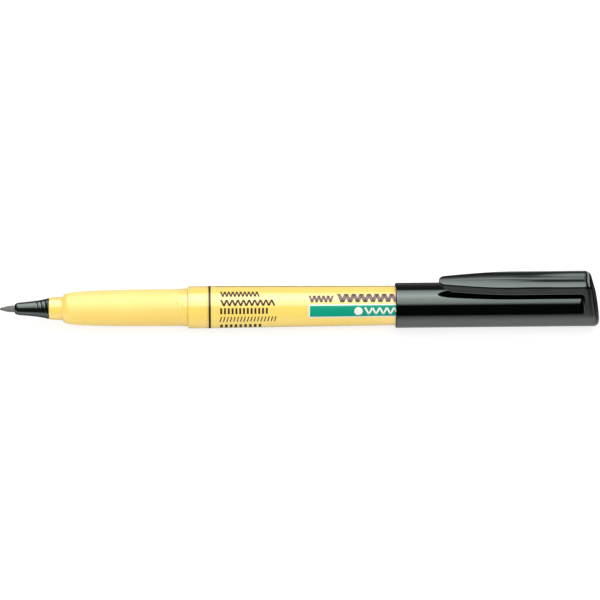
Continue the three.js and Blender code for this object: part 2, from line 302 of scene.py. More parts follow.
def turned_rings(along: np.ndarray, radius: np.ndarray, turns: np.ndarray) -> np.ndarray:
    """Points at radius * (-sin, cos) of each turn: turn 0 is up, a quarter turn is towards the front side.

    Args:
        along: (rows, 1) or (rows, columns) distances along the pen.
        radius: array of a like shape.
        turns: turns that broadcast with them.

    Returns:
        (rows, columns, 3) array in pen millimetres.
    """
    x, r, t = np.broadcast_arrays(along, radius, turns)
    return np.stack([x, -r * np.sin(t), r * np.cos(t)], axis=-1)


class Socket:
    """Names of the Principled BSDF's sockets that the finishes use."""

    COLOR = "Base Color"
    ROUGHNESS = "Roughness"
    IOR = "IOR"
    TINT = "Specular Tint"
    SHEEN = "Sheen Weight"
    SHEEN_ROUGHNESS = "Sheen Roughness"
    NORMAL = "Normal"


class NodeTree:
    """Short ways to add and join shader nodes in a material, a world or a group."""

    def __init__(self, tree: bpy.types.NodeTree) -> None:
        """Keeps the tree that nodes are added to."""
        self.tree = tree

    @staticmethod
    def of(block: Material | bpy.types.World, keep: bool = False) -> NodeTree:
        """Turns on a block's nodes, and removes the usual ones unless they are kept.

        Args:
            block: a material or a world.
            keep: whether the usual nodes stay.

        Returns:
            The helper for its tree.
        """
        block.use_nodes = True
        if not keep:
            block.node_tree.nodes.clear()
        return NodeTree(block.node_tree)

    def feed(self, slot: Slot, term: object) -> None:
        """Joins a socket to an input, or writes a value into it.

        Args:
            slot: the input.
            term: a socket to join, or a value to write.
        """
        if isinstance(term, Slot):
            self.tree.links.new(term, slot)
        else:
            slot.default_value = term

    def add(self, kind: str, **values: object) -> Node:
        """Adds a node and sets its properties or, by socket name with _ for a space, feeds its inputs.

        Args:
            kind: the node's type.
            values: properties and inputs, where an input may be fed by a socket.

        Returns:
            The new node.
        """
        node = self.tree.nodes.new(kind)
        for key, value in values.items():
            if hasattr(node, key):
                setattr(node, key, value)
            else:
                self.feed(node.inputs[key.replace("_", " ")], value)
        return node

    def maths(self, operation: str, *terms: object, clamp: bool = False) -> Slot:
        """Adds a Math node.

        Args:
            operation: the node's operation.
            terms: numbers or sockets.
            clamp: whether the result is kept within 0 to 1.

        Returns:
            The result.
        """
        node = self.add("ShaderNodeMath", operation=operation, use_clamp=clamp)
        for slot, term in zip(node.inputs, terms):
            self.feed(slot, term)
        return node.outputs[0]

    def times(self, first: object, second: object) -> Slot:
        """Product of two numbers or sockets."""
        return self.maths("MULTIPLY", first, second)

    def plus(self, first: object, second: object, clamp: bool = False) -> Slot:
        """Sum of two numbers or sockets, kept within 0 to 1 where clamped."""
        return self.maths("ADD", first, second, clamp=clamp)

    def blend(self, share: object, first: object, second: object) -> Slot:
        """Mixes two colours by a share.

        Args:
            share: how much of the second colour shows, 0 to 1.
            first: a colour or a socket.
            second: a colour or a socket.

        Returns:
            The mixed colour.
        """
        node = self.add("ShaderNodeMix", data_type="RGBA")
        for index, term in ((0, share), (6, first), (7, second)):
            self.feed(node.inputs[index], term)
        return node.outputs[2]

    def mix(self, share: object, first: Node, second: Node) -> Node:
        """Mixes two shader nodes by a share.

        Args:
            share: how much of the second shows, 0 to 1.
            first: a shader node.
            second: another one.

        Returns:
            The mixing node.
        """
        node = self.add("ShaderNodeMixShader")
        for slot, term in zip(node.inputs, (share, first.outputs[0], second.outputs[0])):
            self.feed(slot, term)
        return node

    def span(self, value: Slot, low: float, high: float, smooth: bool = True) -> Slot:
        """Maps a value between two limits to 0 to 1, eased where smooth.

        Args:
            value: the value to map.
            low: where the result is 0.
            high: where the result is 1.
            smooth: whether it eases in and out.

        Returns:
            A value from 0 to 1.
        """
        kind = "SMOOTHSTEP" if smooth else "LINEAR"
        limits = {"Value": value, "From_Min": low, "From_Max": high}
        return self.add("ShaderNodeMapRange", interpolation_type=kind, **limits).outputs["Result"]

    def ramp(self, value: Slot, stops: Stops) -> Slot:
        """Reads a value off straight lines between stops.

        Args:
            value: the value looked up.
            stops: (place, level) pairs in rising order of place.

        Returns:
            The level.
        """
        low, high = stops[0][0], stops[-1][0]
        peak = max(level for _, level in stops)
        node = self.add("ShaderNodeValToRGB", Fac=self.span(value, low, high, smooth=False))
        while len(node.color_ramp.elements) < len(stops):
            node.color_ramp.elements.new(1.0)
        for element, (place, level) in zip(node.color_ramp.elements, stops):
            element.position = (place - low) / (high - low)
            element.color = (level / peak, level / peak, level / peak, 1.0)
        return self.times(node.outputs["Color"], peak)

    def place(self) -> tuple[Slot, bpy.types.NodeOutputs]:
        """Object coordinates, as a vector and as X, Y and Z."""
        place = self.add("ShaderNodeTexCoord").outputs["Object"]
        return place, self.add("ShaderNodeSeparateXYZ", Vector=place).outputs

    def noise(self, place: Slot, **values: object) -> Slot:
        """Noise at a place."""
        return self.add("ShaderNodeTexNoise", Vector=place, **values).outputs["Fac"]

    def bumped(self, height: Slot, strength: float, distance: float) -> Slot:
        """The normal of a surface with a height, at a distance in millimetres."""
        bump = self.add("ShaderNodeBump", Strength=strength, Distance=distance * MM, Height=height)
        return bump.outputs["Normal"]


def new_group(name: str, numbers: dict[str, float], colours: list[str], outputs: dict[str, str]) -> tuple:
    """Makes an empty shader node group with named sockets.

    Args:
        name: the group's name.
        numbers: float inputs with their default values.
        colours: colour inputs.
        outputs: output names with their socket types.

    Returns:
        The group's tree, its NodeTree helper, its inputs as sockets and its outputs as sockets.
    """
    tree = bpy.data.node_groups.new(name, "ShaderNodeTree")
    for label in colours:
        tree.interface.new_socket(label, in_out="INPUT", socket_type="NodeSocketColor")
    for label, value in numbers.items():
        socket = tree.interface.new_socket(label, in_out="INPUT", socket_type="NodeSocketFloat")
        socket.default_value = value
    for label, kind in outputs.items():
        tree.interface.new_socket(label, in_out="OUTPUT", socket_type=kind)
    helper = NodeTree(tree)
    return tree, helper, helper.add("NodeGroupInput").outputs, helper.add("NodeGroupOutput").inputs


def skin_group() -> bpy.types.NodeTree:
    """Moulded skin: slow colour drift, slow gloss drift and a fine grain, all from noise on object places.

    Returns:
        The group, with Color, Roughness and Height outputs.
    """
    numbers = {"Drift": 0.5, "Roughness": 0.3, "Roughness Spread": 0.05, "Grain Size": 2500.0, "Grain": 0.2}
    outputs = {"Color": "NodeSocketColor", "Roughness": "NodeSocketFloat", "Height": "NodeSocketFloat"}
    tree, g, source, sink = new_group("Moulded skin", numbers, ["Color", "Deep Color"], outputs)
    place, _ = g.place()
    slow = g.noise(place, Scale=75.0, Detail=3.0, Roughness=0.55)
    patchy = g.noise(place, Scale=420.0, Detail=4.0, Roughness=0.6)
    grain = g.noise(place, Scale=source["Grain Size"], Detail=2.0, Roughness=0.5)
    drift = g.times(g.span(slow, 0.35, 0.7), source["Drift"])
    spread = g.times(g.maths("SUBTRACT", patchy, 0.5), source["Roughness Spread"])
    g.feed(sink["Color"], g.blend(drift, source["Color"], source["Deep Color"]))
    g.feed(sink["Roughness"], g.plus(source["Roughness"], spread, clamp=True))
    g.feed(sink["Height"], g.times(grain, source["Grain"]))
    return tree


def handling_group() -> bpy.types.NodeTree:
    """Handling marks: hair scratches along the pen and faint smudges, as masks.

    Noise stretched a hundredfold along the pen, cut to its rare peaks and kept only where a slow noise is
    high, gives the scratches. A distorted noise with five levels of detail gives the smudges.

    Returns:
        The group, with Scratches and Smudges outputs.
    """
    outputs = {"Scratches": "NodeSocketFloat", "Smudges": "NodeSocketFloat"}
    tree, g, source, sink = new_group("Handling marks", {"Amount": 0.5, "Fineness": 5200.0}, [], outputs)
    place, _ = g.place()
    stretched = g.add("ShaderNodeMapping", Vector=place, Scale=(0.011, 1.0, 1.0), Rotation=(0.0, 0.02, 0.03))
    hair = g.noise(stretched.outputs["Vector"], Scale=source["Fineness"], Detail=1.0, Roughness=0.4)
    worn = g.noise(place, Scale=140.0, Detail=2.0)
    smear = g.noise(place, Scale=230.0, Detail=5.0, Roughness=0.7, Distortion=0.6)
    scratches = g.times(g.span(hair, 0.66, 0.74), g.span(worn, 0.45, 0.65))
    g.feed(sink["Scratches"], g.times(scratches, source["Amount"]))
    g.feed(sink["Smudges"], g.times(g.span(smear, 0.5, 0.72), source["Amount"]))
    return tree


@dataclass(frozen=True)
class Groups:
    """The shader node groups that the finishes share."""

    skin: bpy.types.NodeTree
    handling: bpy.types.NodeTree


def srgb(red: int, green: int, blue: int) -> Colour:
    """Turns an 8-bit display colour into the linear colour that renders as it.

    Args:
        red: red level, 0 to 255.
        green: green level.
        blue: blue level.

    Returns:
        Linear red, green and blue, and full opacity.
    """
    share = np.array([red, green, blue]) / 255
    linear = np.where(share <= 0.04045, share / 12.92, ((share + 0.055) / 1.055) ** 2.4)
    return (float(linear[0]), float(linear[1]), float(linear[2]), 1.0)


@dataclass(frozen=True)
class PlasticFinish:
    """A moulded plastic surface.

    Args:
        name: the material's name.
        colour: main colour.
        deep: colour that it drifts to.
        roughness: mean roughness.
        spread: how far the roughness wanders.
        grain: height of the grain, as a share of bump.
        grain_size: noise scale of the grain.
        bump: bump distance in millimetres.
        handling: amount of scratches and smudges.
        ior: refractive index.
        drift: how much of the deep colour shows.
        gloss: colour of its reflections.
        bloom: weight of the pale bloom at its grazing edges.
        bloom_roughness: how far the bloom reaches in from the edges.
        scratched: roughness that a full scratch adds.
        smudged: roughness that a full smudge adds.
    """

    name: str
    colour: Colour
    deep: Colour
    roughness: float = 0.2
    spread: float = 0.08
    grain: float = 0.2
    grain_size: float = 2600.0
    bump: float = 0.01
    handling: float = 0.5
    ior: float = 1.5
    drift: float = 0.5
    gloss: Colour = PLAIN_WHITE
    bloom: float = 0.0
    bloom_roughness: float = 0.5
    scratched: float = 0.25
    smudged: float = 0.06

    def roughness_of(self, tree: NodeTree, skin: Node, marks: Node) -> Slot:
        """Adds the marks to the skin's roughness.

        Args:
            tree: the material's nodes.
            skin: the skin group's node.
            marks: the handling group's node.

        Returns:
            The roughness.
        """
        scratched = tree.times(marks.outputs["Scratches"], self.scratched)
        smudged = tree.times(marks.outputs["Smudges"], self.smudged)
        total = tree.plus(scratched, smudged)
        return tree.plus(skin.outputs["Roughness"], total, clamp=True)

    def make(self, groups: Groups) -> Material:
        """Builds the material.

        Args:
            groups: the shared node groups.

        Returns:
            The new material.
        """
        material = bpy.data.materials.new(self.name)
        tree = NodeTree.of(material, keep=True)
        tones = {"Color": self.colour, "Deep_Color": self.deep, "Drift": self.drift}
        matt = {"Roughness": self.roughness, "Roughness_Spread": self.spread}
        grain = {"Grain_Size": self.grain_size, "Grain": self.grain}
        skin = tree.add("ShaderNodeGroup", node_tree=groups.skin, **tones, **matt, **grain)
        marks = tree.add("ShaderNodeGroup", node_tree=groups.handling, Amount=self.handling)
        lowered = tree.times(marks.outputs["Scratches"], -0.5)
        height = tree.plus(skin.outputs["Height"], lowered)
        values = {
            Socket.COLOR: skin.outputs["Color"],
            Socket.ROUGHNESS: self.roughness_of(tree, skin, marks),
            Socket.IOR: self.ior,
            Socket.TINT: self.gloss,
            Socket.SHEEN: self.bloom,
            Socket.SHEEN_ROUGHNESS: self.bloom_roughness,
            Socket.NORMAL: tree.bumped(height, 1.0, self.bump),
        }
        for label, value in values.items():
            tree.feed(material.node_tree.nodes["Principled BSDF"].inputs[label], value)
        return material


@dataclass(frozen=True)
class ZonedFinish(PlasticFinish):
    """A plastic whose middle stretch along X is textured and whose ends stay glossy.

    Args:
        satin_from: frame place along X where the texture starts, in metres.
        satin_to: frame place along X where it stops, in metres.
        satin_roughness: roughness of the textured stretch.
        fade_front: length over which it starts, in millimetres.
        fade_rear: length over which it stops, in millimetres.
        rubbing: share of the texture that a full smudge rubs smooth.
    """

    satin_from: float = 0.0
    satin_to: float = 0.0
    satin_roughness: float = 0.62
    fade_front: float = 1.0
    fade_rear: float = 5.0
    rubbing: float = 0.3

    def roughness_of(self, tree: NodeTree, skin: Node, marks: Node) -> Slot:
        """Raises the roughness between the two places, less where the grip is rubbed smooth.

        Args:
            tree: the material's nodes.
            skin: the skin group's node.
            marks: the handling group's node.

        Returns:
            The roughness.
        """
        gloss = super().roughness_of(tree, skin, marks)
        _, parts = tree.place()
        rise = tree.span(parts["X"], self.satin_from, self.satin_from + self.fade_front * MM)
        fall = tree.span(parts["X"], self.satin_to, self.satin_to - self.fade_rear * MM)
        step = self.satin_roughness - self.roughness
        rubbed = tree.times(marks.outputs["Smudges"], self.rubbing)
        kept = tree.maths("SUBTRACT", step, tree.times(rubbed, step))
        return tree.plus(gloss, tree.times(tree.times(rise, fall), kept), clamp=True)


@dataclass(frozen=True)
class FibreFinish:
    """Bonded fibre: strands along X, dark between them and darker towards the writing end.

    Args:
        name: the material's name.
        light: colour of the strands.
        dark: colour between the strands.
        inked: colour of the writing end.
        inked_to: frame place along X where the inked colour has faded, in metres.
        fade: length over which it fades, in metres.
        strands: noise scale across the strands.
    """

    name: str
    light: Colour
    dark: Colour
    inked: Colour
    inked_to: float
    fade: float
    strands: float = 9000.0

    def make(self) -> Material:
        """Builds the material from noise stretched along X.

        Returns:
            The new material.
        """
        material = bpy.data.materials.new(self.name)
        tree = NodeTree.of(material, keep=True)
        place, parts = tree.place()
        stretched = tree.add("ShaderNodeMapping", Vector=place, Scale=(0.06, 1.0, 1.0))
        strand = tree.noise(stretched.outputs["Vector"], Scale=self.strands, Detail=3.0, Roughness=0.6)
        fuzz = tree.noise(place, Scale=self.strands * 0.7, Detail=2.0)
        lit = tree.blend(tree.span(strand, 0.35, 0.65), self.dark, self.light)
        wet = tree.span(parts["X"], self.inked_to, self.inked_to - self.fade)
        dull = tree.maths("MULTIPLY_ADD", fuzz, 0.25, 0.62)
        height = tree.plus(strand, tree.times(fuzz, 0.4))
        shader = material.node_tree.nodes["Principled BSDF"]
        tree.feed(shader.inputs[Socket.COLOR], tree.blend(wet, lit, self.inked))
        tree.feed(shader.inputs[Socket.ROUGHNESS], tree.maths("SUBTRACT", dull, tree.times(wet, 0.15)))
        tree.feed(shader.inputs[Socket.NORMAL], tree.bumped(height, 0.6, 0.03))
        return material


class Ink(Enum):
    """Printing inks of the wrap."""

    BROWN = srgb(56, 47, 32)
    MAUVE = srgb(116, 98, 96)
    GREEN = srgb(0, 158, 128)
    WHITE = srgb(244, 243, 232)
    CREAM = srgb(255, 231, 140)

    def finish(self) -> PlasticFinish:
        """One printing ink: slightly uneven and a little duller than the film.

        Returns:
            The ink's finish.
        """
        deep = tuple(0.82 * part for part in self.value[:3]) + (1.0,)
        fine = {"grain": 0.3, "grain_size": 3600, "bump": 0.003, "ior": 1.3}
        return PlasticFinish("Ink " + self.name.lower(), self.value, deep, 0.3, 0.1, **fine)


@dataclass
class Finishes:
    """Every material of the pen, made once.

    Args:
        layout: where the pen lies.
    """

    layout: Layout
    plastics: dict[str, Material] = field(init=False)
    fibres: dict[str, Material] = field(init=False)
    inks: dict[Ink, Material] = field(init=False)

    def __post_init__(self) -> None:
        """Makes the groups and each material."""
        groups = Groups(skin=skin_group(), handling=handling_group())
        tip = self.layout.tip
        yellow, deep_yellow = srgb(254, 223, 109), srgb(250, 213, 95)
        warm = {"gloss": CREAM_GLOSS, "bloom": 0.42}
        wrap = {"grain": 0.12, "grain_size": 900, "ior": 1.6, "drift": 0.35, **warm}
        zone = {"satin_from": tip + 16.4 * MM, "satin_to": tip + 47.5 * MM}
        grip = {"grain": 0.35, "grain_size": 5200, "ior": 1.64, **zone, **warm}
        holder = {"grain": 0.2, "handling": 0.4, "gloss": COOL_GLOSS}
        cap = {"grain": 0.1, "grain_size": 1400, "ior": 1.52, "gloss": COOL_GLOSS}
        black, deep_black = srgb(15, 19, 15), srgb(21, 25, 21)
        pale, deep_pale = srgb(198, 200, 196), srgb(184, 187, 182)
        clear, deep_clear = srgb(226, 230, 230), srgb(206, 210, 210)
        plastics = {
            "barrel": PlasticFinish("Barrel plastic", yellow, deep_yellow, 0.14, 0.06, ior=1.6, **warm),
            "wrap": PlasticFinish("Printed wrap", yellow, deep_yellow, 0.13, 0.05, **wrap),
            "grip": ZonedFinish("Grip plastic", srgb(252, 220, 104), srgb(248, 210, 91), 0.16, 0.06, **grip),
            "holder": PlasticFinish("Holder plastic", black, deep_black, 0.12, 0.05, **holder),
            "cap": PlasticFinish("Cap plastic", srgb(2, 4, 3), srgb(5, 7, 6), 0.07, 0.03, **cap),
            "seal": PlasticFinish("Seal plastic", pale, deep_pale, 0.4, 0.08, grain=0.3),
            "film": PlasticFinish("Reservoir film", clear, deep_clear, 0.2, 0.1, grain=0.3),
        }
        nib = (srgb(118, 119, 112), srgb(70, 71, 66), srgb(34, 35, 31), tip + 1.0 * MM, 0.9 * MM)
        core = (srgb(96, 98, 98), srgb(52, 54, 54), srgb(30, 31, 31), tip, 1.0 * MM)
        fibres = {"nib": FibreFinish("Nib fibre", *nib), "core": FibreFinish("Reservoir fibre", *core)}
        self.plastics = {key: finish.make(groups) for key, finish in plastics.items()}
        self.fibres = {key: finish.make() for key, finish in fibres.items()}
        self.inks = {ink: ink.finish().make(groups) for ink in Ink}


def dress(piece: Piece, material: Material, body: Body, replaces: str | None = None) -> Piece:
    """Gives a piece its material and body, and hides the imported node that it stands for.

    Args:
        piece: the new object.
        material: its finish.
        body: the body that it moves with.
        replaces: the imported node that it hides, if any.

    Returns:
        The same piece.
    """
    piece.data.materials.append(material)
    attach(piece, body.value)
    if replaces:
        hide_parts(replaces)
    log.info("%s: %d faces, rides on %s", piece.name, len(piece.data.polygons), body.value)
    return piece


@dataclass
class Part:
    """A sub-assembly of the pen.

    Args:
        layout: where the pen lies.
    """

    layout: Layout

    def turned(self, name: str, outline: np.ndarray, closed: bool = False) -> Piece:
        """Turns an outline of (along, radius) once round the pen's axis."""
        rings = turned_rings(outline[:, :1], outline[:, 1:], angles_round()[None, :])
        return ringed_body(name, self.layout.metres(rings), closed)


@dataclass
class Nib(Part):
    """The fibre nib: a rod whose front swells from a rounded point by a quarter sine.

    Args:
        point: radius of the rounded point.
        point_round: length of the rounded point.
        taper: distance from the tip at which the rod is full.
    """

    point: float = 0.24
    point_round: float = 0.14
    taper: float = 3.0

    def outline(self) -> np.ndarray:
        """Elliptic nose, quarter-sine taper, then the plain rod.

        Returns:
            (n, 2) array of the outline.
        """
        shaft = self.layout.reach("nib")
        nose = np.linspace(0.02, 1, 9)
        swell = np.linspace(0, 1, 40)[1:]
        rod = np.linspace(self.taper + 0.1, self.layout.rear("nib"), 24)
        nose_points = np.c_[self.point_round * nose**2, self.point * np.sqrt(1 - (1 - nose**2) ** 2)]
        along = self.point_round + (self.taper - self.point_round) * swell
        taper_points = np.c_[along, self.point + (shaft - self.point) * np.sin(swell * pi / 2)]
        return np.concatenate([nose_points, taper_points, np.c_[rod, np.full_like(rod, shaft)]])

    def build(self, finishes: Finishes) -> Piece:
        """Makes and dresses the nib."""
        piece = self.turned("nib_rod", self.outline())
        return dress(piece, finishes.fibres["nib"], Body.BARREL, "nib")


@dataclass
class NibHolder(Part):
    """The black cone with three fine rings: radius = nose + slope * t + flare * t ** power along it.

    Args:
        face: radius of the flat front.
        nose: radius behind the bevelled nose.
        slope: even rise of the radius from the nose to the foot.
        flare: rise that comes late, towards the foot.
        power: how late it comes.
        bevel: length of the bevelled nose.
        plug: radius of the plug in the neck.
        rings: distances of the fine rings behind the front.
        ring_depth: depth of a ring.
        ring_width: width of a ring.
    """

    face: float = 1.12
    nose: float = 1.57
    slope: float = 0.65
    flare: float = 0.43
    power: float = 3.5
    bevel: float = 1.0
    plug: float = 1.87
    rings: tuple[float, ...] = (5.62, 6.62, 7.62)
    ring_depth: float = 0.06
    ring_width: float = 0.12

    def outline(self) -> np.ndarray:
        """Bevelled nose, flared cone with rings, foot, plug in the neck and bore.

        Returns:
            (n, 2) array of the outline.
        """
        start, end = self.layout.front("nib_holder"), self.layout.rear("nib_holder")
        foot = self.layout.neck - SEAT_GAP
        bore = self.layout.reach("nib") + NIB_PLAY
        front = [(start, bore, 0), (start, self.face, 0.06), (start + 0.5, self.nose - 0.12, 0.15)]
        nose = rounded([*front, (start + self.bevel, self.nose, 0)], steps=5)
        t = np.linspace(0.02, 0.975, 190)
        along = start + self.bevel + (foot - start - self.bevel) * t
        radius = self.nose + self.slope * t + self.flare * t**self.power
        for ring in self.rings:
            radius = radius - self.ring_depth * np.exp(-(((along - start - ring) / self.ring_width) ** 2))
        base = (foot, self.nose + self.slope + self.flare, 0.12)
        plug = [(foot, self.plug, 0.05), (end, self.plug, 0.2), (end, bore, 0)]
        back = rounded([(along[-1], radius[-1], 0), base, *plug], steps=4)
        return np.concatenate([nose[:-1], np.c_[along, radius], back[1:]])

    def build(self, finishes: Finishes) -> Piece:
        """Makes and dresses the nib holder."""
        piece = self.turned("nib_holder_cone", self.outline(), closed=True)
        return dress(piece, finishes.plastics["holder"], Body.BARREL, "nib_holder")


@dataclass
class FrontSection(Part):
    """Neck, shoulder and grip in one moulding, with snap nubs near the rear.

    The grip's radius is its full radius less two dying exponentials: a short one for the shoulder and a long
    one for the slow swell.

    Args:
        neck_bore: radius of the neck's bore.
        neck_front: the neck's radius at its front.
        neck_rear: the neck's radius before the groove.
        neck_length: length from the neck's front to the shoulder.
        groove: depth of the groove in front of the shoulder.
        shoulder_rise: height of the short exponential.
        shoulder_reach: distance over which it dies down.
        swell_rise: height of the long exponential.
        swell_reach: distance over which it dies down.
        bead: height of the raised band at the grip's rear end.
        bead_length: length of that band.
        plug: radius of the plug in the barrel.
        plug_bore: radius of the plug's bore.
        nub_margin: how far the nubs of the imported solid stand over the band.
        nub_from_step: distance from the nubs to the barrel's front.
        nub_turns: turns of the nubs from the clip's line, in degrees.
        nub_size: length, width and height of a nub.
    """

    neck_bore: float = 1.95
    neck_front: float = 2.7
    neck_rear: float = 2.96
    neck_length: float = 3.45
    groove: float = 0.12
    shoulder_rise: float = 0.68
    shoulder_reach: float = 0.64
    swell_rise: float = 0.85
    swell_reach: float = 7.0
    bead: float = 0.07
    bead_length: float = 1.4
    plug: float = 4.14
    plug_bore: float = 3.6
    nub_margin: float = 0.09
    nub_from_step: float = 2.65
    nub_turns: tuple[float, ...] = (22.0, 142.0, 262.0)
    nub_size: tuple[float, float, float] = (0.9, 1.3, 0.16)

    @property
    def full_radius(self) -> float:
        """Radius of the raised band at the grip's rear end."""
        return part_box("front_section")[1][1] / MM - self.nub_margin

    def outline(self) -> np.ndarray:
        """Outline from the neck's front over the grip and the plug to the bore.

        Returns:
            (n, 2) array of the outline.
        """
        front = self.layout.neck
        shoulder = front + self.neck_length
        seam = self.layout.front("barrel") - 0.05
        end = self.layout.rear("front_section")
        full, low = self.full_radius, self.neck_rear - self.groove
        bead_front = seam - self.bead_length
        neck = [(front, self.neck_bore, 0), (front, self.neck_front, 0.22)]
        groove = [(shoulder - 0.42, self.neck_rear - 0.01, 0.05), (shoulder - 0.2, low, 0.08)]
        rise = [(shoulder, low + 0.02, 0.05), (shoulder + 0.02, self.swell_at(0.0), 0)]
        head = rounded([*neck, *groove, *rise], steps=5)
        far = np.linspace(3.2, bead_front - 0.25 - shoulder, 130)
        distance = np.concatenate([np.linspace(0.01, 3, 60), far])
        swell = np.c_[shoulder + 0.02 + distance, self.swell_at(distance)]
        band = [(bead_front - 0.1, full - self.bead, 0.4), (bead_front + 0.1, full, 0.3), (seam, full, 0.1)]
        plug = [(seam, self.plug, 0.03), (end, self.plug, 0.2), (end, self.plug_bore, 0)]
        rear = rounded([(swell[-1, 0], swell[-1, 1], 0), *band, *plug], steps=5)
        return np.concatenate([head[:-1], swell, rear[1:]])

    def swell_at(self, distance: np.ndarray | float) -> np.ndarray | float:
        """Grip radius at a distance behind the shoulder's front.

        Args:
            distance: distance behind the shoulder's front.

        Returns:
            The radius, in the distance's shape.
        """
        shoulder = self.shoulder_rise * np.exp(-np.asarray(distance) / self.shoulder_reach)
        swell = self.swell_rise * np.exp(-np.asarray(distance) / self.swell_reach)
        return self.full_radius - self.bead - shoulder - swell

    def nubs(self, along: np.ndarray, radius: np.ndarray, turns: np.ndarray) -> np.ndarray:
        """Height of the snap nubs over the grip: height * (1 - distance squared), smoothed at the foot.

        Args:
            along: (rows, 1) places along the pen.
            radius: (rows, 1) radii without the nubs.
            turns: (1, columns) turns.

        Returns:
            (rows, columns) heights.
        """
        length, width, height = self.nub_size
        off_along = (along - self.layout.front("barrel") + self.nub_from_step) / (length / 2)
        centres = np.radians(self.nub_turns)[:, None, None]
        off_round = ((turns - centres + pi) % (2 * pi) - pi) * radius / (width / 2)
        return (height * np.clip(1 - off_along**2 - off_round**2, 0, None) ** 1.3).sum(axis=0)

    def build(self, finishes: Finishes) -> Piece:
        """Makes and dresses the front section.

        Args:
            finishes: the pen's materials.

        Returns:
            The dressed piece.
        """
        outline = self.outline()
        along, radius = outline[:, :1], outline[:, 1:]
        turns = angles_round(FINE_SIDES)[None, :]
        rings = turned_rings(along, radius + self.nubs(along, radius, turns), turns)
        piece = ringed_body("front_section_grip", self.layout.metres(rings), closed=True)
        return dress(piece, finishes.plastics["grip"], Body.BARREL, "front_section")


@dataclass
class Barrel(Part):
    """The barrel: a plain collar, then a straight taper to a rounded closed tail; the bore narrows with it.

    Args:
        body_front: radius where the wrap starts.
        body_rear: radius at the tail.
        wall: wall at the front.
        tail_wall: wall at the tail.
        floor: thickness of the closed tail.
        bore_step: length of the straight bore that takes the front section's plug.
    """

    body_front: float = 5.22
    body_rear: float = 4.62
    wall: float = 1.05
    tail_wall: float = 0.85
    floor: float = 1.2
    bore_step: float = 12.3

    def radius_at(self, along: np.ndarray | float) -> np.ndarray | float:
        """Radius of the tapered stretch under the wrap.

        Args:
            along: place along the pen.

        Returns:
            The radius, in the place's shape.
        """
        start, end = self.layout.front("label_film"), self.layout.rear("barrel")
        share = (np.asarray(along) - start) / (end - start)
        return self.body_front + (self.body_rear - self.body_front) * share

    def outline(self) -> np.ndarray:
        """Bore's front, collar with a rounded lip, step, taper, rounded tail and the bore's floor.

        Returns:
            (n, 2) array of the outline.
        """
        front, end = self.layout.front("barrel"), self.layout.rear("barrel")
        step, collar = self.layout.front("label_film"), self.layout.reach("barrel")
        bore = self.body_front - self.wall
        lip = [(front + self.bore_step, bore, 0), (front, bore, 0.05), (front, collar, 0.16)]
        shoulder = [(step - 0.1, collar, 0.06), (step - 0.04, self.body_front, 0.04)]
        taper = [(x, float(self.radius_at(x)), 0) for x in np.linspace(step + 1, end - 2, 8)]
        tail = [(end, float(self.radius_at(end)), 0.9), (end, POLE, 0)]
        inside = [(end - self.floor, POLE), (end - self.floor, self.body_rear - self.tail_wall)]
        return np.concatenate([rounded([*lip, *shoulder, *taper, *tail], steps=7), inside])

    def build(self, finishes: Finishes) -> Piece:
        """Makes and dresses the barrel."""
        piece = self.turned("barrel_tube", self.outline(), closed=True)
        return dress(piece, finishes.plastics["barrel"], Body.BARREL, "barrel")


@dataclass(frozen=True)
class Mark:
    """One printed mark, as a patch of the wrap.

    Args:
        start: distance behind the nib's tip, in millimetres.
        length: length along the pen.
        low: turn where it starts, in degrees from the clip's line towards the front.
        high: turn where it ends.
        ink: its ink.
        ends: share of its length over which each end is rounded.
        lean: how far its upper edge runs ahead of its lower one, in millimetres.
        layer: how many prints lie under it.
    """

    start: float
    length: float
    low: float
    high: float
    ink: Ink
    ends: float = 0.0
    lean: float = 0.0
    layer: int = 0


@dataclass(frozen=True)
class Stitches:
    """A row of equal strokes, like a row of stitches.

    Args:
        start: where the row starts behind the nib's tip.
        end: where it ends.
        low: lower turn in degrees.
        high: upper turn.
        pitch: distance between strokes, or the length of one zig and one zag.
        width: width of a stroke.
        ink: its ink.
        lean: how far a stroke leans.
        zigzag: whether the strokes lean to and fro, each by half the pitch.
        layer: how many prints lie under it.
    """

    start: float
    end: float
    low: float
    high: float
    pitch: float
    width: float
    ink: Ink
    lean: float = 0.0
    zigzag: bool = False
    layer: int = 0

    def marks(self) -> list[Mark]:
        """The strokes of the row.

        Returns:
            One mark for each stroke.
        """
        step = self.pitch / 2 if self.zigzag else self.pitch
        first = self.start + (step / 2 if self.zigzag else 0.0)
        strokes = range(int((self.end - self.start) / step))
        leans = [step * (1 if i % 2 else -1) if self.zigzag else self.lean for i in strokes]
        turns = (self.low, self.high, self.ink)
        return [Mark(first + i * step, self.width, *turns, lean=leans[i], layer=self.layer) for i in strokes]


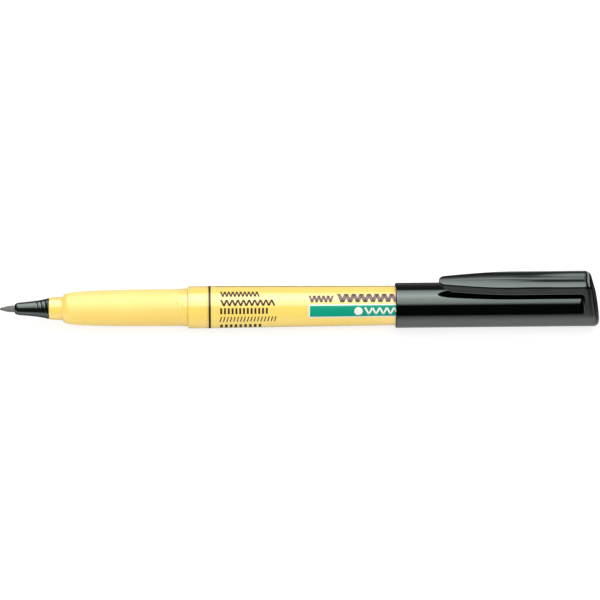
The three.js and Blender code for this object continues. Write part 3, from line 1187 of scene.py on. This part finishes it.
@dataclass
class PrintedWrap(Part):
    """The printed film round the barrel and its raised ink marks.

    Args:
        barrel: the barrel under it.
        fit: gap between barrel and film.
        thickness: the film's thickness.
        ink_height: height of an ink over the film.
        layer_height: how much higher each further layer lies.
        grid: length in millimetres and turn in degrees of the marks' faces.
    """

    barrel: Barrel
    fit: float = 0.02
    thickness: float = 0.06
    ink_height: float = 0.012
    layer_height: float = 0.009
    grid: tuple[float, float] = (0.12, 2.5)

    def surface(self, along: np.ndarray | float) -> np.ndarray | float:
        """Radius of the film's outside."""
        return self.barrel.radius_at(along) + self.fit + self.thickness

    def film(self) -> Piece:
        """A thin tube that follows the barrel's taper, with softly rounded edges.

        Returns:
            The film, not yet dressed.
        """
        front, end = self.layout.front("label_film"), self.layout.rear("label_film")
        inner = self.fit + self.thickness
        out_front, out_end = float(self.surface(front)), float(self.surface(end))
        lip = [(front + 1, out_front - inner, 0), (front, out_front - inner, 0.01), (front, out_front, 0.04)]
        between = [(x, float(self.surface(x)), 0) for x in np.linspace(front + 2, end - 2, 12)]
        tail = [(end, out_end, 0.02), (end, out_end - inner, 0.01), (end - 1, out_end - inner, 0)]
        return self.turned("printed_wrap_film", rounded([*lip, *between, *tail], steps=4), closed=True)

    def patch(self, mark: Mark) -> tuple[np.ndarray, np.ndarray]:
        """Builds one mark as a thin closed slab that follows the film.

        The grid runs along the pen and round it. Its half height is full in the middle and falls as a
        quarter ellipse over the rounded ends. The top lies above the film and the bottom below it.

        Args:
            mark: the mark.

        Returns:
            Points in frame metres and faces.
        """
        rows = max(6, int(mark.length / self.grid[0]))
        columns = max(4, int((mark.high - mark.low) / self.grid[1]))
        u = np.linspace(0, 1, rows)[:, None]
        v = np.linspace(-1, 1, columns)[None, :]
        edge = np.clip(np.minimum(u, 1 - u) / max(mark.ends, 1e-6), 0.0, 1.0)
        half = np.sqrt(np.clip(1 - (1 - edge) ** 2, 0.0, 1.0)) if mark.ends > 0 else np.ones_like(edge)
        half = np.maximum(half, 0.04)
        middle, reach = (mark.low + mark.high) / 2, (mark.high - mark.low) / 2
        turn = np.radians(middle + reach * half * v)
        along = mark.start + mark.length * u - mark.lean * half * v / 2
        lifts = (self.ink_height + mark.layer * self.layer_height, -self.ink_height)
        sheets = [turned_rings(along, self.surface(along) + lift, turn).reshape(-1, 3) for lift in lifts]
        return self.layout.metres(np.concatenate(sheets)), slab_faces(rows, columns)

    def marks(self) -> list[Mark]:
        """Lists the print: two rings, a line, the edged green stripe with its dot, and eight rows.

        Returns:
            Every mark of the print.
        """
        plain = [
            Mark(52.2, 0.58, -180, 180, Ink.BROWN),
            Mark(53.6, 0.3, -180, 180, Ink.CREAM),
            Mark(53.7, 44.9, -38.1, -34.6, Ink.BROWN),
            Mark(77.15, 33.0, 34.4, 75.0, Ink.WHITE),
            Mark(77.5, 32.5, 38.3, 70.8, Ink.GREEN, layer=1),
            Mark(88.55, 2.12, 43.4, 67.0, Ink.WHITE, ends=0.5, layer=2),
        ]
        rows = [
            Stitches(55.1, 65.0, -6.9, 10.7, 1.0, 0.4, Ink.BROWN, zigzag=True),
            Stitches(55.1, 69.0, 19.8, 36.9, 1.4, 0.5, Ink.BROWN, zigzag=True),
            Stitches(55.1, 67.9, 42.5, 59.6, 0.95, 0.5, Ink.BROWN),
            Stitches(55.1, 70.2, 67.5, 84.5, 0.85, 0.28, Ink.BROWN, lean=0.4),
            Stitches(55.1, 66.3, 95.5, 116.7, 1.2, 0.64, Ink.BROWN),
            Stitches(77.2, 83.2, 8.4, 28.6, 1.15, 0.56, Ink.MAUVE, zigzag=True),
            Stitches(84.2, 98.9, 3.0, 29.2, 1.9, 0.98, Ink.MAUVE, zigzag=True),
            Stitches(91.05, 99.6, 44.5, 65.0, 1.8, 0.52, Ink.WHITE, zigzag=True, layer=2),
        ]
        return plain + [mark for row in rows for mark in row.marks()]

    def build(self, finishes: Finishes) -> list[Piece]:
        """Makes the film and one joined piece for each ink.

        Args:
            finishes: the pen's materials.

        Returns:
            The dressed film and inks.
        """
        pieces = [dress(self.film(), finishes.plastics["wrap"], Body.BARREL, "label_film")]
        for ink in Ink:
            points, faces = zip(*(self.patch(mark) for mark in self.marks() if mark.ink is ink))
            starts = np.cumsum([0] + [len(block) for block in points[:-1]])
            joined = np.concatenate([block + start for block, start in zip(faces, starts)]).tolist()
            piece = closed_mesh("print_" + ink.name.lower(), np.concatenate(points), joined)
            pieces.append(dress(piece, finishes.inks[ink], Body.BARREL))
        return pieces


@dataclass
class CapShell(Part):
    """The cap: a thin tube whose end is a block with a drop-shaped section and a leaning flat end.

    Round the pen, the block's radius is the smaller of the crowned top and the two planes that touch the
    tube, and the tube's own circle below them. The corner between them is rounded by a soft minimum.

    Args:
        edge: rounding of the mouth's outer edge.
        bore: radius of the bore.
        flare: how much the bore opens at the mouth.
        seat_bore: radius of the bore that the inner cap sits in.
        seat_length: length of that bore before the inner cap's end.
        half_top: half width of the block's top.
        height: height of the top's edges over the axis.
        crown: how far the top's middle stands over its edges.
        slant: lean of the end, as distance along the pen per height.
        lead: how far the end plane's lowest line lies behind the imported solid's end.
        block_length: length of the block along its lowest line.
        round_low: rounding of the end's edge at the bottom.
        round_high: rounding of it at the top.
        root_fillet: rounding where the tube rises to the block.
        mouth_lead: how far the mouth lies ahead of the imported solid's.
        corner_power: sharpness of the soft minimum.
        flow_marks: (place across, width, height, start, stop, reach) of each faint mark along the top.
    """

    edge: float = 0.3
    bore: float = 5.018
    flare: float = 0.1
    seat_bore: float = 3.63
    seat_length: float = 2.15
    half_top: float = 2.72
    height: float = 9.77
    crown: float = 0.16
    slant: float = 0.19
    lead: float = 0.18
    block_length: float = 4.4
    round_low: float = 1.5
    round_high: float = 1.6
    root_fillet: float = 1.3
    mouth_lead: float = 0.1
    corner_power: float = 70.0
    flow_marks: tuple[tuple[float, ...], ...] = (
        (-0.45, 0.25, -0.102, 13.0, -9.0, 9.0),
        (-0.22, 0.05, 0.014, 20.0, -6.0, 6.0),
        (0.07, 0.06, 0.016, 36.0, 12.0, 6.0),
        (-0.07, 0.045, -0.018, 36.0, 2.0, 6.0),
        (0.28, 0.2, 0.12, 24.0, -20.0, 14.0),
    )

    @property
    def mouth(self) -> float:
        """Place of the mouth's edge."""
        return self.layout.front("cap_shell") - self.mouth_lead

    @property
    def radius(self) -> float:
        """The tube's outside radius."""
        return self.layout.reach("cap_shell") + 0.01

    @property
    def end(self) -> float:
        """Where the leaning end plane meets the cap's lowest line."""
        return self.layout.rear("cap_shell") + self.lead

    @property
    def wall_turn(self) -> float:
        """Turn from the clip's line to the line where each side plane touches the tube."""
        return atan2(self.half_top, self.height) + acos(self.radius / hypot(self.half_top, self.height))

    def top_rise(self, across: np.ndarray, from_root: np.ndarray | float) -> np.ndarray:
        """Height of the clip's top over its edges: a crown, with faint flow marks along it.

        Each mark is a low step: half its height times one more than the hyperbolic tangent of the distance
        from its line over its width. It fades out over its reach at its start and its stop, which are
        distances from the root.

        Args:
            across: place across the top, from -1 at the far edge to 1 at the near one.
            from_root: distance from the root towards the tip, in millimetres.

        Returns:
            Rise in millimetres.
        """
        rise = self.crown * (1 - across**2)
        for place, width, height, start, stop, reach in self.flow_marks:
            strength = np.clip(np.minimum(start - from_root, from_root - stop) / reach, 0, 1)
            rise = rise + strength * height / 2 * (np.tanh((across - place) / width) + 1)
        return rise

    def block_radius(self, turns: np.ndarray) -> np.ndarray:
        """Radius of the block's outline at each turn.

        Args:
            turns: turns of the columns.

        Returns:
            The radius at each turn.
        """
        power = self.corner_power
        turn = (turns + pi) % (2 * pi) - pi
        off = np.abs(turn)
        side = self.radius / np.cos(np.clip(self.wall_turn - off, 0.0, 1.4))
        across = np.clip(np.tan(np.clip(turn, -0.6, 0.6)) * self.height / self.half_top, -1, 1)
        top = (self.height + self.top_rise(across, 0.0)) / np.cos(np.minimum(off, 1.2))
        softened = (top**-power + side**-power) ** (-1 / power)
        return np.where(off < self.wall_turn, np.maximum(softened, self.radius), self.radius)

    def end_place(self, height: np.ndarray) -> np.ndarray:
        """Place of the leaning end plane along the pen, at a height over the axis."""
        return self.end - self.slant * (self.radius + height)

    def inside(self) -> np.ndarray:
        """Outline of the bore, from the middle of its floor back to the mouth.

        Returns:
            (n, 2) array of the outline.
        """
        mouth, rear = self.mouth, self.layout.rear("inner_cap")
        seat = rear - self.seat_length
        floor = [(rear + SEAT_GAP, POLE, 0), (rear + SEAT_GAP, self.seat_bore, 0.1)]
        wall = [(seat, self.seat_bore, 0.1), (seat, self.bore, 0.2), (mouth + 0.9, self.bore, 0)]
        snap = [(mouth + 0.55, self.bore - 0.05, 0.1), (mouth + 0.3, self.bore, 0.1)]
        return rounded([*floor, *wall, *snap, (mouth, self.bore + self.flare, 0)], steps=4)[:-1]

    def rings(self, turns: np.ndarray) -> np.ndarray:
        """Rings of the whole cap: the bore, then the outside from the mouth to the middle of the end.

        Args:
            turns: (1, columns) turns of the columns.

        Returns:
            (rows, columns, 3) array in pen millimetres.
        """
        mouth, radius, front = self.mouth, self.radius, self.end - self.block_length
        bore = self.inside()
        corners = [(mouth, self.bore + self.flare, 0), (mouth, radius, self.edge), (mouth + 2, radius, 0)]
        lip = rounded(corners, steps=8)
        tube = np.linspace(mouth + 2.5, front - self.root_fillet - 0.1, 60)[:, None]
        block, up = self.block_radius(turns), np.cos(turns)
        rise = block - radius
        fillet = np.minimum(self.root_fillet, rise)
        root = np.radians(np.linspace(0, 90, 8))[:, None]
        wall = np.array([0.15, 0.4, 0.7, 0.94])[:, None]
        share_up = (up * block + radius) / (self.height + radius)
        rounding = self.round_low + (self.round_high - self.round_low) * share_up
        run = np.array([0.0, 0.04, 0.2, 0.4, 0.6, 0.8, 0.96])[:, None]
        run_length = self.end_place(up * block) - rounding - front - 0.02
        edge = np.radians(np.linspace(0, 90, 12))[:, None]
        drawn = block - rounding * (1 - np.cos(edge))
        face = (block - rounding) * np.array([0.985, 0.9, 0.75, 0.55, 0.35, 0.15, 0.01])[:, None]
        stretches = [
            (bore[:, :1], bore[:, 1:]),
            (lip[:, :1], lip[:, 1:]),
            (tube, radius),
            (front - self.root_fillet * (1 - np.sin(root)), radius + fillet * (1 - np.cos(root))),
            (front + 0.01 * wall, radius + fillet + (rise - fillet) * wall),
            (front + 0.02 + run_length * run, block),
            (self.end_place(up * drawn) - rounding * (1 - np.sin(edge)), drawn),
            (self.end_place(up * face), face),
        ]
        return np.concatenate([turned_rings(along, reach, turns) for along, reach in stretches])

    def columns(self) -> np.ndarray:
        """Turns of the columns: dense over the two top corners and even elsewhere.

        Returns:
            Turns from 0 up to a whole turn, in rising order.
        """
        corner = atan2(self.half_top, self.height)
        limits = (0, corner - 0.05, corner + 0.05, self.wall_turn + 0.1, pi)
        counts = (26, 22, 34, 44)
        spans = [np.linspace(a, b, n, endpoint=False) for a, b, n in zip(limits, limits[1:], counts)]
        near = np.concatenate(spans)
        return np.concatenate([near, [pi], 2 * pi - near[:0:-1]])

    def build(self, finishes: Finishes) -> Piece:
        """Makes the cap as one body of outside and bore, with finer columns at the block's corners."""
        piece = ringed_body("cap_shell_body", self.layout.metres(self.rings(self.columns()[None, :])))
        return dress(piece, finishes.plastics["cap"], Body.CAP, "cap_shell")


@dataclass
class PocketClip(Part):
    """The cap's long arm: crowned top with faint flow marks, leaning walls, lifted tip and filleted root.

    Args:
        cap: the cap that it grows from.
        thickness: the arm's thickness.
        tip_half: half width of the top at the tip.
        tip_round: rounding of the tip as seen from above.
        tip_lift: length over which the underside lifts towards the tip.
        tip_thickness: thickness left at the tip.
        spread: length over which the top spreads to its full width.
        fillet: rounding of the underside at the root.
        corner: length of the top edges' rounding.
        low_corner: length of the low edges' rounding.
        bend_length: length ahead of the root for a bend from the cap; the point that it gives is not used.
    """

    cap: CapShell
    thickness: float = 2.17
    tip_half: float = 1.25
    tip_round: float = 1.3
    tip_lift: float = 3.2
    tip_thickness: float = 0.3
    spread: float = 20.0
    fillet: float = 1.1
    corner: float = 0.26
    low_corner: float = 0.4
    bend_length: float = 7.0

    def stations(self) -> np.ndarray:
        """Distances behind the tip, closer together at the tip and the root.

        Returns:
            (n,) distances behind the tip, in millimetres.
        """
        length = self.cap.end - self.cap.block_length - self.layout.front("pocket_clip")
        tip = self.tip_round * (1 - np.cos(np.linspace(0.08, 1, 22) * pi / 2))
        middle = np.linspace(self.tip_round + 0.1, length - self.fillet - 0.1, 110)
        root = length - self.fillet * np.cos(np.linspace(0, 1, 16) * pi / 2)
        return np.concatenate([tip, middle, root])

    def half_top(self, distance: np.ndarray) -> np.ndarray:
        """Half width between the top edges: a quarter-sine spread, rounded off at the tip by a circle.

        Args:
            distance: (n,) distances behind the tip.

        Returns:
            (n,) half widths.
        """
        spread = np.sin(np.minimum(1, distance / self.spread) * pi / 2)
        plan = self.tip_half + (self.cap.half_top - self.tip_half) * spread
        return plan * np.sqrt(1 - np.clip(1 - distance / self.tip_round, 0, None) ** 2)

    def underside(self, distance: np.ndarray, length: float) -> np.ndarray:
        """Height of the underside: a lifted tip, a straight run and a quarter circle down at the root.

        Args:
            distance: (n,) distances behind the tip.
            length: distance of the root behind the tip.

        Returns:
            (n,) heights over the axis.
        """
        low = self.cap.height - self.thickness
        rise = np.clip(1 - distance / self.tip_lift, 0, 1)
        lifted = low + (self.thickness - self.tip_thickness) * (rise - 0.12 * np.sin(rise * pi))
        near = np.clip(self.fillet - (length - distance), 0, self.fillet)
        return lifted - (self.fillet - np.sqrt(self.fillet**2 - near**2))

    def section(self, half: np.ndarray, low: np.ndarray, from_root: np.ndarray) -> np.ndarray:
        """Closed section at each station.

        The top runs from edge to edge with the cap's crown and flow marks, scaled with the arm's width. Each
        corner is a quadratic curve between points a corner length away on its two sides.

        Args:
            half: (n,) half widths between the top edges.
            low: (n,) heights of the underside.
            from_root: (n,) distances from the root.

        Returns:
            (n, m, 2) array of side and height.
        """
        lean = 1 / tan(self.cap.wall_turn)
        top = np.full_like(half, self.cap.height)
        foot = half + lean * (top - low)
        corner = np.minimum(self.corner, half * 0.4)
        low_corner = np.minimum(self.low_corner, foot * 0.3)
        s = np.linspace(-1, 1, 81)[None, :]
        inner = (half - corner)[:, None]
        width = np.clip(half / self.cap.half_top, 0, 1)[:, None]
        across = s * inner / np.maximum(half[:, None], 1e-6)
        rise = width * self.cap.top_rise(across, from_root[:, None])
        top_run = np.stack([s * inner, top[:, None] + rise], -1)
        edge = (half - corner, top_run[:, -1, 1])
        right_top = self.curve(edge, (half, top), (half + lean * corner, top - corner))
        slope = (foot - lean * low_corner, low + low_corner)
        right_low = self.curve(slope, (foot, low), (foot - low_corner, low))
        left_low = right_low[:, ::-1] * np.array([-1, 1])
        left_top = right_top[:, ::-1] * np.array([-1, 1])
        return np.concatenate([top_run[:, 1:-1], right_top, right_low, left_low, left_top], axis=1)

    @staticmethod
    def curve(start: tuple, bend: tuple, stop: tuple, steps: int = 9) -> np.ndarray:
        """Quadratic curve from start to stop pulled towards bend, for the (side, height) of each station.

        Args:
            start: where the curve starts.
            bend: the corner that it is pulled towards.
            stop: where it ends.
            steps: number of points on it.

        Returns:
            (n, steps, 2) array of side and height.
        """
        a, b, c = (np.stack(pair, -1)[:, None] for pair in (start, bend, stop))
        t = np.linspace(0, 1, steps)[None, :, None]
        return (1 - t) ** 2 * a + 2 * t * (1 - t) * b + t**2 * c

    def build(self, finishes: Finishes) -> Piece:
        """Makes the arm with the cap's finish and hides the imported clip.

        Args:
            finishes: the pen's materials.

        Returns:
            The dressed piece.
        """
        distance = self.stations()
        length = distance[-1]
        outline = self.section(self.half_top(distance), self.underside(distance, length), length - distance)
        along = np.broadcast_to((self.layout.front("pocket_clip") + distance)[:, None], outline.shape[:2])
        rings = np.stack([along, -outline[..., 0], outline[..., 1]], axis=-1)
        piece = ringed_body("pocket_clip_arm", self.layout.metres(rings))
        piece.data.materials.append(finishes.plastics["cap"])
        root, height = self.cap.end - self.cap.block_length, self.cap.height
        start, end = self.layout.metres(np.array([[root, 0, height], [root - self.bend_length, 0, height]]))
        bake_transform(piece)
        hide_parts("pocket_clip")
        log.info("%s: %d faces, bends from cap to clip", piece.name, len(piece.data.polygons))
        return piece


@dataclass
class InnerCap(Part):
    """The seal cup in the cap: a sleeve with a flange near its closed end and a soft lip at its mouth.

    Args:
        bore: radius of the cup's inside.
        wall: the cup's wall.
        flange_from_end: distance of the flange from the closed end.
        flange_length: length of the flange.
    """

    bore: float = 3.0
    wall: float = 0.6
    flange_from_end: float = 2.7
    flange_length: float = 0.5

    def outline(self) -> np.ndarray:
        """Closed outline of the cup's wall, floor and flange.

        Returns:
            (n, 2) array of the outline.
        """
        mouth, end, bore = self.layout.front("inner_cap"), self.layout.rear("inner_cap"), self.bore
        flange, outer = self.layout.reach("inner_cap"), bore + self.wall
        place = end - self.flange_from_end
        behind = place + self.flange_length
        floor = [(end - self.wall, POLE, 0), (end - self.wall, bore, 0.3), (mouth + 1.6, bore, 0.4)]
        lip = [(mouth + 0.7, bore + 0.12, 0.4), (mouth, bore + 0.3, 0.1), (mouth, outer, 0.2)]
        collar = [(place, outer, 0.1), (place, flange, 0.1), (behind, flange, 0.1), (behind, outer, 0.05)]
        return rounded([*floor, *lip, *collar, (end, outer, 0.2), (end, POLE, 0)], steps=4)

    def build(self, finishes: Finishes) -> Piece:
        """Makes and dresses the inner cap."""
        piece = self.turned("inner_cap_cup", self.outline(), closed=True)
        return dress(piece, finishes.plastics["seal"], Body.CAP, "inner_cap")


@dataclass
class Reservoir:
    """The hidden reservoir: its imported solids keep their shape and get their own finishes."""

    def build(self, finishes: Finishes) -> None:
        """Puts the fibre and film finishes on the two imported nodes.

        Args:
            finishes: the pen's materials.
        """
        pairs = {"reservoir_core": finishes.fibres["core"], "reservoir_wrap": finishes.plastics["film"]}
        for node, material in pairs.items():
            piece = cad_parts[node]
            piece.data.materials.clear()
            piece.data.materials.append(material)
            log.info("%s: packed solid with %s", node, material.name)


def unseen(thing: Piece, *ways: str) -> None:
    """Hides an object from rays of the named kinds."""
    for way in ways:
        setattr(thing, "visible_" + way, False)


@dataclass(frozen=True)
class Softbox:
    """One rectangular lamp over the pen, which reflections don't see.

    Args:
        name: the lamp's name.
        height: height over the floor, in metres.
        near: its front edge as a height angle in degrees, counted from the rear horizon over the pen.
        far: its rear edge, counted likewise.
        length: size along the pen, in metres.
        glow: radiance, where 1 is white.
    """

    name: str
    height: float
    near: float
    far: float
    length: float
    glow: float

    def build(self) -> Piece:
        """Makes the lamp facing straight down; its power is radiance * pi * area.

        Returns:
            The lamp.
        """
        y_far, y_near = self.height / tan(radians(self.far)), self.height / tan(radians(self.near))
        width = abs(y_far - y_near)
        data = bpy.data.lights.new(self.name, "AREA")
        data.shape = "RECTANGLE"
        data.size, data.size_y = self.length, width
        data.energy = self.glow * pi * self.length * width
        lamp = bpy.data.objects.new(self.name, data)
        lamp.location = (0.0, (y_far + y_near) / 2, self.height)
        bpy.context.scene.collection.objects.link(lamp)
        unseen(lamp, "camera", "glossy")
        return lamp


@dataclass
class Studio:
    """Floor, white surround, overhead lamp and the tent of light and dark that reflections see.

    Args:
        floor_half: half the floor's width, in metres.
        floor_own: share of the floor's white that is its own glow, which keeps the pen's shadow pale.
        floor_matt: the floor's shade to soft light.
        floor_pale: the floor's shade to the eye, over its own glow.
        ambient: even fill from all round.
        tent_radius: the tent's radius over the pen, in metres.
        tent_half: half the tent's length.
        tent_light: (height angle from the rear horizon over the pen, radiance) pairs.
        tent_colour: colour of the tent's light.
        tent_fade: distances along the pen where the light has faded and where it is full, in metres.
        tent_rest: share of the light that is left where it has faded.
        reach_back: degrees by which the light starts further back over the tip, and the drop per degree.
        over_tip: frame places between which that comes in, in metres.
        lamp_way: direction of a small lamp at the rear right.
        lamp_edge: cosines of the turn from that direction where the lamp ends and where it is full.
        lamp_glow: its radiance.
        floor_light: (place across the pen in metres, radiance) pairs of the floor in reflections: painted
            light, bright in front of the pen, a painted shadow of the pen along its line, dim behind it.
        painted_glow_along: (place along the pen in metres, share) pairs by which the floor's radiance is
            scaled: painted light, full beside the cap and weaker beside the barrel.
    """

    floor_half: float = 0.85
    floor_own: float = 0.78
    floor_matt: float = 0.8
    floor_pale: float = 0.3
    ambient: float = 0.52
    tent_radius: float = 0.7
    tent_half: float = 0.95
    tent_light: Stops = (
        (-10, 0.3), (4, 0.32), (14, 0.18), (38, 0.13), (45, 0.42), (50.5, 4.0), (60, 6.0), (68, 7.0),
        (80, 9.3), (92, 7.4), (101, 6.2), (118.5, 4.4), (124, 2.6), (129, 0.3), (133, 0.02),
        (176, 0.015), (190, 0.1),
    )  # fmt: skip
    tent_colour: Colour = (0.96, 1.0, 0.98, 1.0)
    tent_fade: tuple[float, float] = (0.42, 0.3)
    tent_rest: float = 0.015
    reach_back: tuple[float, float] = (27.5, 0.146)
    over_tip: tuple[float, float] = (-0.06, -0.2)
    lamp_way: tuple[float, float, float] = (0.73, 0.64, 0.2)
    lamp_edge: tuple[float, float] = (0.965, 0.98)
    lamp_glow: float = 3.6
    # Painted light and shade of the floor in reflections: bright in front of the pen, a painted shadow along
    # its line, dim behind it.
    floor_light: Stops = (
        (-0.1, 0.03), (-0.083, 0.05), (-0.074, 1.05), (-0.056, 1.1), (-0.048, 0.85), (-0.042, 0.85),
        (-0.028, 1.6), (-0.0205, 1.95), (-0.014, 2.3), (-0.01, 2.0), (-0.0084, 1.7), (-0.0071, 1.2),
        (-0.0048, 0.65), (-0.0027, 0.3), (0.0, 0.1), (0.004, 0.03), (0.014, 0.03), (0.04, 0.3),
        (0.1, 0.32),
    )  # fmt: skip
    # Painted light: scales that glow along the pen, full beside the cap and weaker beside the barrel.
    painted_glow_along: Stops = (
        (-0.1, 1.35), (-0.07, 1.35), (-0.061, 0.95), (-0.045, 0.3), (0.017, 0.3), (0.025, 1.0), (0.079, 1.0),
        (0.095, 0.5), (0.12, 0.15), (0.2, 0.1),
    )  # fmt: skip

    def floor(self) -> Piece:
        """A pale sheet that the pen lies on, with the pen's own soft shadow.

        Returns:
            The floor.
        """
        edge = np.linspace(-self.floor_half, self.floor_half, 3)
        x, y = np.meshgrid(edge, edge, indexing="ij")
        points = np.stack([x, y, np.zeros_like(x)], -1).reshape(-1, 3)
        floor = link_mesh("studio_floor", points, grid_faces(3, 3)[:, ::-1].tolist())
        floor.data.materials.append(self.floor_material())
        return floor

    def floor_material(self) -> Material:
        """White paper: partly its own glow to the eye, plain matt to soft light, and in reflections a painted
        glow in bands with a painted shadow of the pen.

        Returns:
            The new material.
        """
        material = bpy.data.materials.new("Studio floor")
        tree = NodeTree.of(material)
        matt = tree.add("ShaderNodeBsdfDiffuse", Color=(self.floor_matt,) * 3 + (1.0,))
        pale = tree.add("ShaderNodeBsdfDiffuse", Color=(self.floor_pale,) * 3 + (1.0,))
        own = tree.add("ShaderNodeEmission", Color=PLAIN_WHITE, Strength=self.floor_own)
        seen = tree.add("ShaderNodeAddShader")
        tree.feed(seen.inputs[0], pale.outputs[0])
        tree.feed(seen.inputs[1], own.outputs[0])
        _, parts = tree.place()
        # What reflections see of the floor is painted light: a glow in bands with a painted shadow of the pen,
        # not the lit floor.
        across, along = tree.ramp(parts["Y"], self.floor_light), tree.ramp(parts["X"], self.painted_glow_along)
        painted_reflection = tree.add("ShaderNodeEmission", Color=PLAIN_WHITE, Strength=tree.times(across, along))
        path = tree.add("ShaderNodeLightPath").outputs
        eye = tree.maths("MAXIMUM", path["Is Camera Ray"], path["Is Transmission Ray"])
        surface = tree.mix(path["Is Glossy Ray"], tree.mix(eye, matt, seen), painted_reflection)
        tree.add("ShaderNodeOutputMaterial", Surface=surface.outputs[0])
        return material

    def world(self) -> None:
        """White for direct, glossy and through-going views, and a plain even fill for the rest."""
        world = bpy.data.worlds.new("Studio")
        bpy.context.scene.world = world
        tree = NodeTree.of(world)
        path = tree.add("ShaderNodeLightPath").outputs
        seen = tree.maths("MAXIMUM", path["Is Camera Ray"], path["Is Glossy Ray"])
        seen = tree.maths("MAXIMUM", seen, path["Is Transmission Ray"])
        fill = tree.add("ShaderNodeBackground", Color=PLAIN_WHITE, Strength=self.ambient)
        white = tree.add("ShaderNodeBackground", Color=PLAIN_WHITE, Strength=1.0)
        tree.add("ShaderNodeOutputWorld", Surface=tree.mix(seen, fill, white).outputs[0])

    def tent(self) -> Piece:
        """A long dome over the pen, seen only in reflections.

        Place = (half * sin v, radius * cos(v) ** 0.3 * cos u, radius * cos(v) ** 0.3 * sin u), for u from 0
        to a half turn and v from a quarter turn before to a quarter turn after.

        Returns:
            The tent.
        """
        u = np.linspace(0, pi, 49)[:, None]
        v = np.linspace(-pi / 2, pi / 2, 65)[None, :] * 0.999
        reach = self.tent_radius * np.cos(v) ** 0.3
        x, y, z = np.broadcast_arrays(self.tent_half * np.sin(v), reach * np.cos(u), reach * np.sin(u))
        tent = link_mesh("studio_tent", np.stack([x, y, z], -1).reshape(-1, 3), grid_faces(49, 65).tolist())
        tent.data.materials.append(self.tent_material())
        unseen(tent, "camera", "diffuse", "shadow", "transmission")
        return tent

    def tent_material(self) -> Material:
        """The tent's light: a softbox over the pen that ends short of both ends, and a small lamp.

        Returns:
            The new material.
        """
        material = bpy.data.materials.new("Studio tent")
        tree = NodeTree.of(material)
        place, parts = tree.place()
        angle = tree.maths("DEGREES", tree.maths("ARCTAN2", parts["Z"], parts["Y"]))
        further = tree.maths("MULTIPLY_ADD", angle, -self.reach_back[1], self.reach_back[0])
        turned = tree.maths("MULTIPLY_ADD", tree.span(parts["X"], *self.over_tip), further, angle)
        kept = tree.span(tree.maths("ABSOLUTE", parts["X"]), *self.tent_fade)
        share = tree.maths("MULTIPLY_ADD", kept, 1 - self.tent_rest, self.tent_rest)
        main = tree.times(tree.ramp(turned, self.tent_light), share)
        way = tree.add("ShaderNodeVectorMath", operation="NORMALIZE")
        tree.feed(way.inputs[0], place)
        facing = tree.add("ShaderNodeVectorMath", operation="DOT_PRODUCT")
        tree.feed(facing.inputs[0], way.outputs["Vector"])
        tree.feed(facing.inputs[1], Vector(self.lamp_way).normalized())
        small = tree.times(tree.span(facing.outputs["Value"], *self.lamp_edge), self.lamp_glow)
        glow = tree.add("ShaderNodeEmission", Color=self.tent_colour, Strength=tree.plus(main, small))
        tree.add("ShaderNodeOutputMaterial", Surface=glow.outputs[0])
        return material

    def build(self) -> None:
        """Sets up the whole studio."""
        self.floor()
        self.world()
        self.tent()
        Softbox("Softbox", 0.42, near=150, far=48, length=1.0, glow=1.08).build()


@dataclass
class PhotoCamera:
    """A long lens square to the pen, high on its front side.

    Args:
        layout: where the pen lies.
        width: width of the frame at the pen, in metres.
        elevation: height angle in degrees.
        distance: from the pen, in metres.
        behind_tip: distance of the aimed place from the nib's tip, in metres.
        aside: how far the camera stands towards the nib, in metres.
        tilt: turn about the line of sight that raises the pen's rear end in the frame, in degrees.
        drop: how far the pen's middle lies under the frame's middle, in metres.
    """

    layout: Layout
    width: float = 0.1502
    elevation: float = 50.6
    distance: float = 1.37
    behind_tip: float = 0.07512
    aside: float = 0.0217
    tilt: float = -0.58
    drop: float = 0.00157

    def build(self) -> Piece:
        """Places the camera, aims it near the pen's middle and raises the aim by the drop.

        Returns:
            The camera.
        """
        angle = radians(self.elevation)
        middle = Vector((self.layout.tip + self.behind_tip, 0.0, self.layout.axis))
        towards = Vector((0.0, -cos(angle), sin(angle)))
        up = Vector((0.0, sin(angle), cos(angle)))
        eye = middle + towards * self.distance + Vector((-self.aside, 0.0, 0.0)) + up * self.drop
        look = (middle + up * self.drop - eye).normalized()
        turn = look.to_track_quat("-Z", "Y").to_matrix().to_4x4()
        data = bpy.data.cameras.new("Photo camera")
        data.sensor_width = 36.0
        data.lens = data.sensor_width * self.distance / self.width
        data.clip_start, data.clip_end = 0.05, 20.0
        camera = bpy.data.objects.new("Photo camera", data)
        bpy.context.scene.collection.objects.link(camera)
        camera.matrix_world = Matrix.Translation(eye) @ turn @ Matrix.Rotation(radians(-self.tilt), 4, "Z")
        bpy.context.scene.camera = camera
        return camera


def write_sizes() -> None:
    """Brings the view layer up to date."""
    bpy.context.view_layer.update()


def main() -> None:
    """Builds every sub-assembly in order."""
    logging.basicConfig(level=logging.INFO, format="%(message)s")
    layout = Layout.from_frame()
    PhotoCamera(layout).build()
    finishes = Finishes(layout)
    barrel, cap = Barrel(layout), CapShell(layout)
    parts = [Nib(layout), NibHolder(layout), FrontSection(layout), barrel, PrintedWrap(layout, barrel)]
    parts += [Reservoir(), cap, InnerCap(layout), PocketClip(layout, cap)]
    for part in parts:
        part.build(finishes)
    Studio().build()
    bpy.context.scene.view_settings.view_transform = "Standard"
    write_sizes()


if __name__ == "__main__":
    main()
